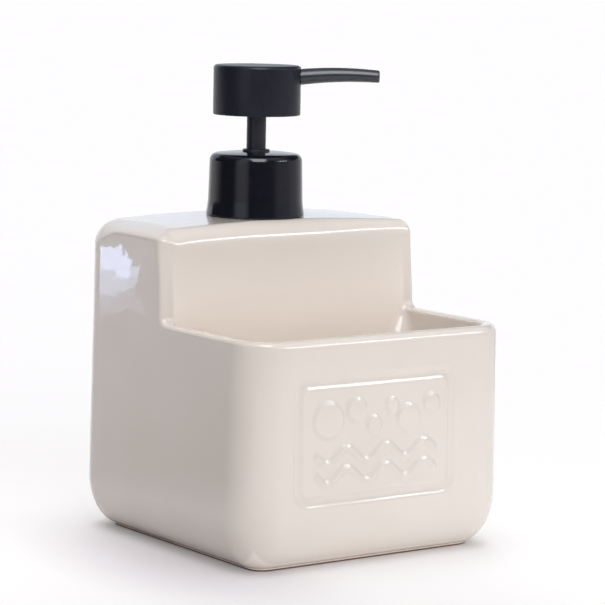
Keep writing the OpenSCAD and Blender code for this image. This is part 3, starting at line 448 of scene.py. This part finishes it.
def ceramic_mesh():
    """The ceramic body, with finer faces at the plaque."""
    points, quads = surface_net(ceramic_field, grid_lines(GRID_X), grid_lines(GRID_Y), grid_lines(GRID_Z))
    points, _ = settle(ceramic_field, points)
    mesh = bpy.data.meshes.new("ceramic")
    mesh.from_pydata(points.tolist(), [], quads.tolist())
    work = bmesh.new()
    work.from_mesh(mesh)
    reach_x, reach_z = PLAQUE_W / 2 + PLAQUE_MARGIN, PLAQUE_H / 2 + PLAQUE_MARGIN
    edges = set()
    for face in work.faces:
        c = face.calc_center_median()
        if c.y < PLAQUE_Y and abs(c.x - PLAQUE_X) < reach_x and abs(c.z - PLAQUE_Z) < reach_z:
            edges.update(face.edges)
    edges = sorted(edges, key=lambda e: e.index)
    bmesh.ops.subdivide_edges(work, edges=edges, cuts=PLAQUE_CUTS, use_grid_fill=True)
    work.to_mesh(mesh)
    work.free()
    points = np.empty(len(mesh.vertices) * 3)
    mesh.vertices.foreach_get("co", points)
    points, normals = settle(plaque_field, points.reshape(-1, 3))
    mesh.vertices.foreach_set("co", (points * MM).ravel())
    mesh.polygons.foreach_set("use_smooth", np.ones(len(mesh.polygons), bool))
    mesh.update()
    mesh.normals_split_custom_set_from_vertices(normals.tolist())
    return mesh


def lathe(name, profile, segments=96):
    """Solid of revolution about the pump's axis from a closed profile of (radius, height above the mouth)."""
    verts, faces = [], []
    turn = [2 * math.pi * s / segments for s in range(segments)]
    index = []
    for r, z in profile:
        if r < SMALL:
            index.append([len(verts)] * segments)
            verts.append((0, MOUTH_Y * MM, (TOP + z) * MM))
        else:
            index.append(list(range(len(verts), len(verts) + segments)))
            verts += [(r * math.cos(a) * MM, (MOUTH_Y + r * math.sin(a)) * MM, (TOP + z) * MM) for a in turn]
    n = len(profile)
    for i in range(n):
        a, b = index[i], index[(i + 1) % n]
        for s in range(segments):
            t = (s + 1) % segments
            corners = []
            for v in (a[s], a[t], b[t], b[s]):
                if v not in corners:
                    corners.append(v)
            if len(corners) > 2:
                faces.append(corners)
    return shaded(name, verts, faces)


def arc(cx, cz, r, start, end, steps):
    """Points of an arc in (radius, height), angles in degrees."""
    return [
        (cx + r * math.cos(math.radians(start + (end - start) * i / steps)),
         cz + r * math.sin(math.radians(start + (end - start) * i / steps)))
        for i in range(steps + 1)
    ]


def tube(name, origin, way, stations, sides=40):
    """Hollow tube along a level direction, from (distance, rise, radius) rings outside and back inside."""
    way = Vector(way).normalized()
    side = Vector((0, 0, 1)).cross(way)
    verts, faces = [], []
    for along, rise, r in stations:
        for k in range(sides):
            a = 2 * math.pi * k / sides
            p = way * along + side * (r * math.cos(a)) + Vector((0, 0, rise + r * math.sin(a)))
            verts.append((Vector(origin) + p) * MM)
    n = len(stations)
    for i in range(n):
        a, b = i * sides, (i + 1) % n * sides
        for k in range(sides):
            t = (k + 1) % sides
            faces.append((a + k, a + t, b + t, b + k))
    return shaded(name, verts, faces)


def shaded(name, verts, faces, smooth_angle=40):
    """New object with smooth faces, and sharp edges where they meet at more than an angle in degrees."""
    mesh = bpy.data.meshes.new(name)
    mesh.from_pydata(verts, [], faces)
    mesh.polygons.foreach_set("use_smooth", np.ones(len(mesh.polygons), bool))
    mesh.update()
    mesh.set_sharp_from_angle(angle=math.radians(smooth_angle))
    return new_object(name, mesh)


def dome_shares():
    """Shares of the way out to the edge of a slightly domed top, from the edge inwards."""
    return [1 - i / DOME_STEPS for i in range(1, DOME_STEPS)]


def collar_profile():
    """Shell with a flared foot, a rounded top edge, and a hole for the stem's guide."""
    low = COLLAR_FOOT_Z + COLLAR_LIP
    flare_top = COLLAR_FOOT_Z + FLARE_H
    outside = arc(COLLAR_FOOT_R - COLLAR_LIP, low, COLLAR_LIP, -90, 0, steps=4)
    for i in range(1, FLARE_STEPS + 1):
        z = low + (flare_top - low) * i / FLARE_STEPS
        share = (flare_top - z) / FLARE_H
        outside.append((COLLAR_LOW_R + (COLLAR_FOOT_R - COLLAR_LOW_R) * share ** FLARE_CURVE, z))
    round_z = COLLAR_H - COLLAR_DOME - COLLAR_ROUND
    outside += arc(COLLAR_TOP_R - COLLAR_ROUND, round_z, COLLAR_ROUND, 0, COLLAR_TURN, steps=16)
    edge_r, edge_z = outside[-1]
    for share in dome_shares():
        r = COLLAR_HOLE + (edge_r - COLLAR_HOLE) * share
        outside.append((r, COLLAR_H - (COLLAR_H - edge_z) * share ** 2))
    outside += arc(COLLAR_HOLE + COLLAR_LIP, COLLAR_H - COLLAR_LIP, COLLAR_LIP, 90, 180, steps=4)
    return outside + [
        (COLLAR_HOLE, COLLAR_ROOF), (COLLAR_BORE, COLLAR_ROOF), (COLLAR_BORE, SKIRT_TOP),
        (SKIRT_R, SKIRT_Z), (SKIRT_R, COLLAR_FOOT_Z),
    ]


def head_profile():
    """Round cap, open below."""
    edge = HEAD_TOP - HEAD_DOME
    outside = arc(HEAD_R - HEAD_FOOT, HEAD_LOW + HEAD_FOOT, HEAD_FOOT, -90, 0, steps=6)
    outside += arc(HEAD_R - HEAD_ROUND, edge - HEAD_ROUND, HEAD_ROUND, 0, HEAD_TURN, steps=12)
    flat = HEAD_R - HEAD_ROUND
    outside += [(flat * share, HEAD_TOP - HEAD_DOME * share ** 2) for share in dome_shares()]
    return outside + [(0, HEAD_TOP), (0, HEAD_CEILING), (HEAD_BORE, HEAD_CEILING), (HEAD_BORE, HEAD_LOW)]


def ring_profile():
    """Guide of the stem: a skirt, a flange under the collar's top, and a rounded nose."""
    nose = arc(RING_NOSE - RING_ROUND, RING_TOP - RING_ROUND, RING_ROUND, 0, 90, steps=5)
    bore = arc(RING_BORE + RING_ROUND / 2, RING_TOP - RING_ROUND / 2, RING_ROUND / 2, 90, 180, steps=3)
    return [
        (RING_BORE, RING_LOW), (RING_SKIRT, RING_LOW), (RING_SKIRT, RING_SEAT), (RING_FLANGE, RING_SEAT),
        (RING_FLANGE, RING_SHELF), (RING_NOSE, RING_SHELF),
    ] + nose + bore


def stem_profile():
    """Plain tube with its outer edges broken."""
    return [
        (STEM_BORE, STEM_LOW), (STEM_R - STEM_EDGE, STEM_LOW), (STEM_R, STEM_LOW + STEM_EDGE),
        (STEM_R, STEM_TOP - STEM_EDGE), (STEM_R - STEM_EDGE, STEM_TOP), (STEM_BORE, STEM_TOP),
    ]


def spout_stations():
    """Rings along the spout, outside to its tip and back through its bore."""
    def rise(share):
        return SPOUT_LIFT * share + SPOUT_ARCH * 4 * share * (1 - share)

    tip_at = SPOUT_REACH - SPOUT_TIP_ROUND
    run = tip_at - SPOUT_SHOULDER
    rings = [(SPOUT_START, 0, SPIGOT_R), (SPOUT_SHOULDER, 0, SPIGOT_R)]
    for i in range(SPOUT_STEPS + 1):
        share = i / SPOUT_STEPS
        r = SPOUT_ROOT_R + (SPOUT_TIP_R - SPOUT_ROOT_R) * share
        rings.append((SPOUT_SHOULDER + run * share, rise(share), r))
    for r, along in arc(SPOUT_TIP_R - SPOUT_TIP_ROUND, tip_at, SPOUT_TIP_ROUND, SPOUT_TIP_TURN, 90, steps=5):
        rings.append((along, rise(1), r))
    for i in range(BORE_STEPS + 1):
        share = 1 - i / BORE_STEPS
        inset = SPOUT_TIP_INSET if i == 0 else 0
        along = SPOUT_SHOULDER + (SPOUT_REACH - SPOUT_SHOULDER) * share - inset
        r = SPOUT_BORE_TIP + (SPOUT_BORE_ROOT - SPOUT_BORE_TIP) * (1 - share)
        rings.append((along, rise(share), r))
    rings.append((SPOUT_START, 0, SPOUT_BORE_ROOT))
    return rings


def coil(name, low, high, steps=32, sides=12):
    """Return spring between two heights in metres. Its first and last turn lie closer than the others."""
    wire, count = SPRING_WIRE / 2, SPRING_TURNS * steps
    run, close = (high - low) / MM - SPRING_WIRE, SPRING_END * SPRING_WIRE
    verts, faces = [], []
    for i in range(count + 1):
        rise = np.interp(i / steps, (0, 1, SPRING_TURNS - 1, SPRING_TURNS), (0, close, run - close, run))
        a = 2 * math.pi * i / steps
        for k in range(sides):
            t = 2 * math.pi * k / sides
            r = SPRING_R + wire * math.cos(t)
            z = wire + rise + wire * math.sin(t)
            verts.append((r * math.cos(a) * MM, (MOUTH_Y + r * math.sin(a)) * MM, low + z * MM))
    for i in range(count):
        for k in range(sides):
            p, q = i * sides + k, i * sides + (k + 1) % sides
            faces.append((p, p + sides, q + sides, q))
    last = count * sides
    faces += [tuple(range(sides)), tuple(range(last + sides - 1, last - 1, -1))]
    return shaded(name, verts, faces)


def place_piece(obj, body, node):
    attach(obj, body)
    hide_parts(node)
    return obj


caddy = place_piece(new_object("ceramic_caddy", ceramic_mesh()), "caddy", "ceramic_body")
collar = place_piece(
    lathe("pump_collar", collar_profile(), segments=160), "closure", "collar_shell"
)
ring = place_piece(lathe("stem_guide", ring_profile()), "pump", "guide_ring")
stem = place_piece(lathe("pump_stem", stem_profile(), segments=64), "head", "stem")
head = place_piece(lathe("pump_head", head_profile(), segments=160), "head", "head_shell")
spout_way = (math.cos(math.radians(SPOUT_TURN)), math.sin(math.radians(SPOUT_TURN)), 0)
spout_root = (0, MOUTH_Y, TOP + HEAD_TOP - SPOUT_DROP)
spout_tube = tube("pump_spout", spout_root, spout_way, spout_stations())
spout = place_piece(spout_tube, "head", "spout")

spring_low, spring_high = (corner[2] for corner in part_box("pump_spring"))
spring = place_piece(coil("return_spring", spring_low, spring_high), "plunger", "pump_spring")
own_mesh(spring)

# Camera at the photograph's place, millimetres and degrees
CAM_TURN, CAM_DIP, CAM_ROLL = 35.6, 7.22, 1.1
CAM_SIDE, CAM_UP, CAM_AWAY = 3.435, 81.683, 952.7
FOCAL_PX, IMAGE_PX, SENSOR = 2689.7, 605, 36.0

turn, dip, roll = (math.radians(v) for v in (CAM_TURN, CAM_DIP, CAM_ROLL))
right = Vector((math.cos(turn), -math.sin(turn), 0))
ahead = Vector((math.sin(turn) * math.cos(dip), math.cos(turn) * math.cos(dip), -math.sin(dip)))
up = right.cross(ahead)
place = (right * CAM_SIDE + up * CAM_UP - ahead * CAM_AWAY) * MM
cam_x = right * math.cos(roll) + up * math.sin(roll)
cam_y = up * math.cos(roll) - right * math.sin(roll)
camera = bpy.data.objects.new("camera", bpy.data.cameras.new("camera"))
camera.data.sensor_width = SENSOR
camera.data.lens = SENSOR * FOCAL_PX / IMAGE_PX
camera.matrix_world = Matrix((
    (cam_x.x, cam_y.x, -ahead.x, place.x),
    (cam_x.y, cam_y.y, -ahead.y, place.y),
    (cam_x.z, cam_y.z, -ahead.z, place.z),
    (0, 0, 0, 1),
))
bpy.context.scene.collection.objects.link(camera)
bpy.context.scene.camera = camera


def new_material(name):
    mat = bpy.data.materials.new(name)
    mat.use_nodes = True
    return mat, mat.node_tree, mat.node_tree.nodes["Principled BSDF"]


def add(tree, kind, **settings):
    """New shader node with its settings, and its inputs where a setting names one."""
    node = tree.nodes.new(kind)
    for key, value in settings.items():
        if hasattr(node, key):
            setattr(node, key, value)
        else:
            node.inputs[key].default_value = value
    return node


def plug(tree, sockets, values):
    """Links values that are sockets themselves, and sets the others."""
    for socket, value in zip(sockets, values):
        if isinstance(value, bpy.types.NodeSocket):
            tree.links.new(value, socket)
        else:
            socket.default_value = value


def maths(tree, operation, *values):
    node = add(tree, "ShaderNodeMath", operation=operation)
    plug(tree, node.inputs, values)
    return node.outputs[0]


def vector_maths(tree, operation, *values):
    node = add(tree, "ShaderNodeVectorMath", operation=operation)
    plug(tree, node.inputs, values)
    return node.outputs["Value" if operation in ("DOT_PRODUCT", "LENGTH") else "Vector"]


def dot(tree, vector, direction):
    return vector_maths(tree, "DOT_PRODUCT", vector, direction)


def axes_of(tree, vector):
    node = add(tree, "ShaderNodeSeparateXYZ")
    tree.links.new(vector, node.inputs[0])
    return node.outputs


def mix(tree, share, a, b):
    """Mix of two numbers, each a value or a socket."""
    node = add(tree, "ShaderNodeMix", data_type="FLOAT")
    plug(tree, (node.inputs[0], node.inputs[2], node.inputs[3]), (share, a, b))
    return node.outputs[0]


def ramp(tree, value, low, high, at_low, at_high):
    node = add(tree, "ShaderNodeMapRange", interpolation_type="SMOOTHSTEP")
    for key, number in (("From Min", low), ("From Max", high), ("To Min", at_low), ("To Max", at_high)):
        node.inputs[key].default_value = number
    tree.links.new(value, node.inputs["Value"])
    return node.outputs["Result"]


def tint(tree, share, a, b):
    """Mix of two colours, each a tuple or a socket."""
    node = add(tree, "ShaderNodeMix", data_type="RGBA")
    for key, colour in (("A", a), ("B", b)):
        socket = next(i for i in node.inputs if i.name == key and i.type == "RGBA")
        if isinstance(colour, tuple):
            socket.default_value = (*colour, 1)
        else:
            tree.links.new(colour, socket)
    tree.links.new(share, node.inputs[0])
    return next(o for o in node.outputs if o.type == "RGBA")


def noise(tree, where, size, detail=2.0, rough=0.5):
    """Noise whose lumps are about size millimetres wide."""
    node = add(tree, "ShaderNodeTexNoise", Scale=1 / (size * MM), Detail=detail, Roughness=rough)
    tree.links.new(where, node.inputs["Vector"])
    return node.outputs[0]


def bump(tree, height, depth, strength):
    """Surface relief, depth in millimetres."""
    node = add(tree, "ShaderNodeBump", Strength=strength, Distance=depth * MM)
    tree.links.new(height, node.inputs["Height"])
    return node.outputs["Normal"]


def glaze_material():
    """Cream glaze with slow ripples and painted light that makes it lighter inside the holder and on the
    tank's front, over clay that is bare at the foot.
    """
    mat, tree, bsdf = new_material("cream_glaze")
    link = tree.links.new
    where = add(tree, "ShaderNodeTexCoord").outputs["Object"]
    x, y, z = axes_of(tree, where)
    tone = tint(tree, noise(tree, where, TONE_WIDTH, detail=3.0), GLAZE_THIN, GLAZE_THICK)
    # Painted light: the glaze turns lighter and warmer inside the holder and on the tank's front
    inside = 1.0
    for place, (start, full) in (
        (maths(tree, "ABSOLUTE", x), PAINTED_LIGHT_X), (y, PAINTED_LIGHT_FRONT), (y, PAINTED_LIGHT_BACK), (z, PAINTED_LIGHT_Z),
    ):
        inside = maths(tree, "MULTIPLY", inside, ramp(tree, place, start * MM, full * MM, 0, 1))
    tone = tint(tree, inside, tone, GLAZE_PAINTED_LIGHT)
    bare = ramp(tree, z, BARE_Z[0] * MM, BARE_Z[1] * MM, 1, 0)
    clay = tint(tree, noise(tree, where, CLAY_WIDTH, detail=4.0), CLAY_DARK, CLAY)
    link(tint(tree, bare, tone, clay), bsdf.inputs["Base Color"])
    cloud = noise(tree, where, GLOSS_WIDTH)
    rough = maths(tree, "MULTIPLY_ADD", cloud, GLAZE_SPREAD, GLAZE_ROUGH - GLAZE_SPREAD / 2)
    rough = maths(tree, "ADD", rough, maths(tree, "MULTIPLY", bare, CLAY_ROUGHER))
    link(rough, bsdf.inputs["Roughness"])
    link(maths(tree, "SUBTRACT", 1.0, bare), bsdf.inputs["Coat Weight"])
    bsdf.inputs["Coat Roughness"].default_value = COAT_ROUGH
    bsdf.inputs["Coat IOR"].default_value = COAT_IOR
    bsdf.inputs["IOR"].default_value = GLAZE_IOR
    ripple = noise(tree, where, RIPPLE_WIDTH, rough=0.45)
    link(bump(tree, ripple, RIPPLE_DEPTH, RIPPLE_STRENGTH), bsdf.inputs["Coat Normal"])
    return mat


def plastic(name, colour, rough, spread, grain, depth, soft, ior):
    """Moulded plastic: a fine grain, slightly uneven gloss, and a slight mottling of its colour."""
    mat, tree, bsdf = new_material(name)
    link = tree.links.new
    where = add(tree, "ShaderNodeTexCoord").outputs["Object"]
    darker = tuple(c * (1 - MOTTLE) for c in colour)
    lighter = tuple(min(1.0, c * (1 + MOTTLE)) for c in colour)
    link(tint(tree, noise(tree, where, MOTTLE_WIDTH), darker, lighter), bsdf.inputs["Base Color"])
    cloud = noise(tree, where, CLOUD_WIDTH, detail=3.0)
    link(ramp(tree, cloud, *CLOUD_RANGE, rough - spread, rough + spread), bsdf.inputs["Roughness"])
    link(bump(tree, noise(tree, where, grain), depth, GRAIN_STRENGTH), bsdf.inputs["Normal"])
    bsdf.inputs["IOR"].default_value = ior
    bsdf.inputs["Subsurface Weight"].default_value = soft
    bsdf.inputs["Subsurface Scale"].default_value = SCATTER * MM
    return mat


def steel_material():
    """Stainless steel with a fine drawn grain."""
    mat, tree, bsdf = new_material("stainless_steel")
    link = tree.links.new
    where = add(tree, "ShaderNodeTexCoord").outputs["Object"]
    drawn = noise(tree, where, DRAWN_WIDTH, detail=5.0, rough=0.7)
    link(tint(tree, drawn, STEEL_DARK, STEEL_LIGHT), bsdf.inputs["Base Color"])
    link(ramp(tree, drawn, *DRAWN_RANGE, *STEEL_ROUGH), bsdf.inputs["Roughness"])
    link(bump(tree, drawn, DRAWN_DEPTH, DRAWN_STRENGTH), bsdf.inputs["Normal"])
    bsdf.inputs["Metallic"].default_value = 1.0
    return mat


caddy.data.materials.append(glaze_material())
materials = {name: plastic(name, *values) for name, values in PLASTICS.items()}
materials["stainless_steel"] = steel_material()
pieces = {
    "collar_shell": collar, "guide_ring": ring, "stem": stem,
    "head_shell": head, "spout": spout, "pump_spring": spring,
}
for node, piece in pieces.items():
    piece.data.materials.append(materials[FINISHES[node]])
for node, finish in FINISHES.items():
    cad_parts[node].data.materials.clear()
    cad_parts[node].data.materials.append(materials[finish])


def camera_way(degrees, lift=0.0):
    """Direction from the object, turned towards the camera's right and lifted, in degrees."""
    a, e = math.radians(degrees), math.radians(lift)
    flat = Vector((-ahead.x, -ahead.y, 0)).normalized() * math.cos(a) + right * math.sin(a)
    return flat * math.cos(e) + Vector((0, 0, math.sin(e)))


def room_level(tree, way, height=None, boxes=1.0):
    """Brightness that shines back from gloss. The floor gives no height and dims the softboxes."""
    flat = vector_maths(tree, "NORMALIZE", vector_maths(tree, "MULTIPLY", way, (1, 1, 0)))
    level = ramp(tree, dot(tree, flat, camera_way(180)), *SPREAD_TURN, 0, BACKDROP)
    shares = [ramp(tree, dot(tree, flat, camera_way(90)), *RIGHT_TURN, 1, BACKDROP_RIGHT)]
    if height is not None:
        leftward = dot(tree, flat, (-1, 0, 0))
        lift = ramp(tree, leftward, *LIFT_TURN, 0, BACKDROP_LIFT)
        shares.append(ramp(tree, leftward, *END_TURN, 1, 0))
        shares.append(ramp(tree, maths(tree, "SUBTRACT", height, lift), *BACKDROP_TOP, 1, 0))
        shares.append(ramp(tree, height, *HIGH_RISE, 1, BACKDROP_HIGH))
    for share in shares:
        level = maths(tree, "MULTIPLY", level, share)
    level = maths(tree, "ADD", level, ROOM_DARK)
    for turned, strength, core, edge in SOFTBOXES:
        near, far = math.cos(math.radians(edge)), math.cos(math.radians(core))
        box = ramp(tree, dot(tree, flat, camera_way(turned)), near, far, 0, strength)
        level = maths(tree, "ADD", level, maths(tree, "MULTIPLY", box, boxes))
    if height is not None:
        level = maths(tree, "ADD", level, ramp(tree, height, *ROOM_RISE, 0, ROOM_HIGH))
    return level


def studio():
    """Surroundings, with a brightness each for diffuse light, for gloss and for the eye."""
    world = bpy.data.worlds.new("studio")
    bpy.context.scene.world = world
    world.use_nodes = True
    tree = world.node_tree
    backdrop = tree.nodes["Background"]
    way = add(tree, "ShaderNodeTexCoord").outputs["Generated"]
    rays = add(tree, "ShaderNodeLightPath").outputs
    aside = ramp(tree, dot(tree, way, (-1, 0, 0)), *SKY_TURN, 0, 1)
    colour = tint(tree, aside, SKY_WHITE, SKY_MAUVE)
    tree.links.new(tint(tree, rays["Is Glossy Ray"], colour, SKY_BLUE), backdrop.inputs["Color"])
    sky = maths(tree, "MAXIMUM", maths(tree, "ADD", dot(tree, way, SKY_SLOPE), SKY_BASE), SKY_LEAST)
    for lamp_way, level, power in LAMPS:
        lobe = maths(tree, "POWER", maths(tree, "MAXIMUM", dot(tree, way, lamp_way), 0.0), power)
        sky = maths(tree, "ADD", sky, maths(tree, "MULTIPLY", lobe, level))
    gloss = room_level(tree, way, dot(tree, way, (0, 0, 1)))
    shown = mix(tree, rays["Is Glossy Ray"], sky, gloss)
    tree.links.new(mix(tree, rays["Is Camera Ray"], shown, SKY_SEEN), backdrop.inputs["Strength"])


def floor_material():
    """Matt white sweep with a painted shadow left of the object. In reflections it falls off into the room in
    front of the object.
    """
    mat, tree, bsdf = new_material("floor")
    link = tree.links.new
    where = add(tree, "ShaderNodeTexCoord").outputs["Object"]
    rays = add(tree, "ShaderNodeLightPath").outputs
    x, y, _ = axes_of(tree, where)
    length = vector_maths(tree, "LENGTH", where)
    side = dot(tree, vector_maths(tree, "NORMALIZE", where), camera_way(FLOOR_SIDE))
    reach = maths(tree, "MULTIPLY", length, ramp(tree, side, *FLOOR_TURN, *FLOOR_SHRINK))
    far = ramp(tree, reach, FLOOR_NEAR, FLOOR_FAR, 0, 1)
    boxes = ramp(tree, length, BOX_NEAR, BOX_FAR, BOX_LEAST, 1)
    change = maths(tree, "SUBTRACT", room_level(tree, where, boxes=boxes), 1.0)
    change = maths(tree, "MULTIPLY", maths(tree, "MULTIPLY", change, far), rays["Is Glossy Ray"])
    thrown = tint(tree, ramp(tree, x, *FLOOR_SPLIT, 0, 1), FLOOR_LEFT, FLOOR_FRONT)
    # Painted shadow: a grey patch on the floor to the left of the object
    aside = maths(tree, "SUBTRACT", x, PAINTED_SHADOW_X)
    along = maths(tree, "MULTIPLY", maths(tree, "SUBTRACT", y, PAINTED_SHADOW_Y), PAINTED_SHADOW_STRETCH)
    squares = maths(tree, "ADD", maths(tree, "POWER", aside, 2.0), maths(tree, "POWER", along, 2.0))
    painted_shadow = ramp(tree, maths(tree, "SQRT", squares), 0.0, PAINTED_SHADOW_REACH, 0, 1)
    white = tint(tree, painted_shadow, FLOOR_PAINTED_SHADOW, FLOOR_WHITE)
    link(white, bsdf.inputs["Emission Color"])
    link(maths(tree, "MULTIPLY", rays["Is Camera Ray"], FLOOR_GLOW), bsdf.inputs["Emission Strength"])
    lit = vector_maths(tree, "MULTIPLY", white, (FLOOR_LIT, FLOOR_LIT, FLOOR_LIT))
    colour = tint(tree, rays["Is Camera Ray"], thrown, lit)
    colour = tint(tree, maths(tree, "ADD", change, 1.0), (0.0, 0.0, 0.0), colour)
    link(colour, bsdf.inputs["Base Color"])
    bsdf.inputs["Roughness"].default_value = 1.0
    bsdf.inputs["Specular IOR Level"].default_value = 0.0
    return mat


floor_mesh = bpy.data.meshes.new("floor")
floor_corners = [(a * FLOOR_REACH, b * FLOOR_REACH, 0) for a, b in ((-1, -1), (1, -1), (1, 1), (-1, 1))]
floor_mesh.from_pydata(floor_corners, [], [(0, 1, 2, 3)])
floor = new_object("floor", floor_mesh)
floor.data.materials.append(floor_material())


def panel(name, way, distance, size, power, aim, colour=(1, 1, 1)):
    """Soft light, size (width, height) in metres, in a direction from its aim."""
    light = bpy.data.lights.new(name, "AREA")
    light.shape = "RECTANGLE"
    light.size, light.size_y = size
    light.energy = power
    light.color = colour
    obj = new_object(name, light)
    way = Vector(way).normalized()
    obj.location = Vector(aim) + way * distance
    obj.rotation_euler = way.to_track_quat("Z", "Y").to_euler()
    obj.visible_camera = False
    obj.visible_diffuse = False


def window():
    """A window's bluish reflection high on the left face, which grows dimmer downwards."""
    way = Vector(WINDOW_WAY).normalized()
    side = way.cross(Vector((0, 0, 1))).normalized()
    for number, (aside, rise, wide, high, share) in enumerate(WINDOW_PANES):
        aim = Vector(WINDOW_AIM) - side * aside + Vector((0, 0, rise))
        power = WINDOW_LEVEL * share * wide * high
        panel(f"window_{number}", way, WINDOW_AWAY, (wide, high), power, aim, WINDOW_BLUE)


studio()
for name, (turned, lift, size, power) in PANELS.items():
    panel(name, camera_way(turned, lift), PANEL_AWAY, size, power, PANEL_AIM)
window()
view = bpy.context.scene.view_settings
view.view_transform = "Standard"
view.look = "None"
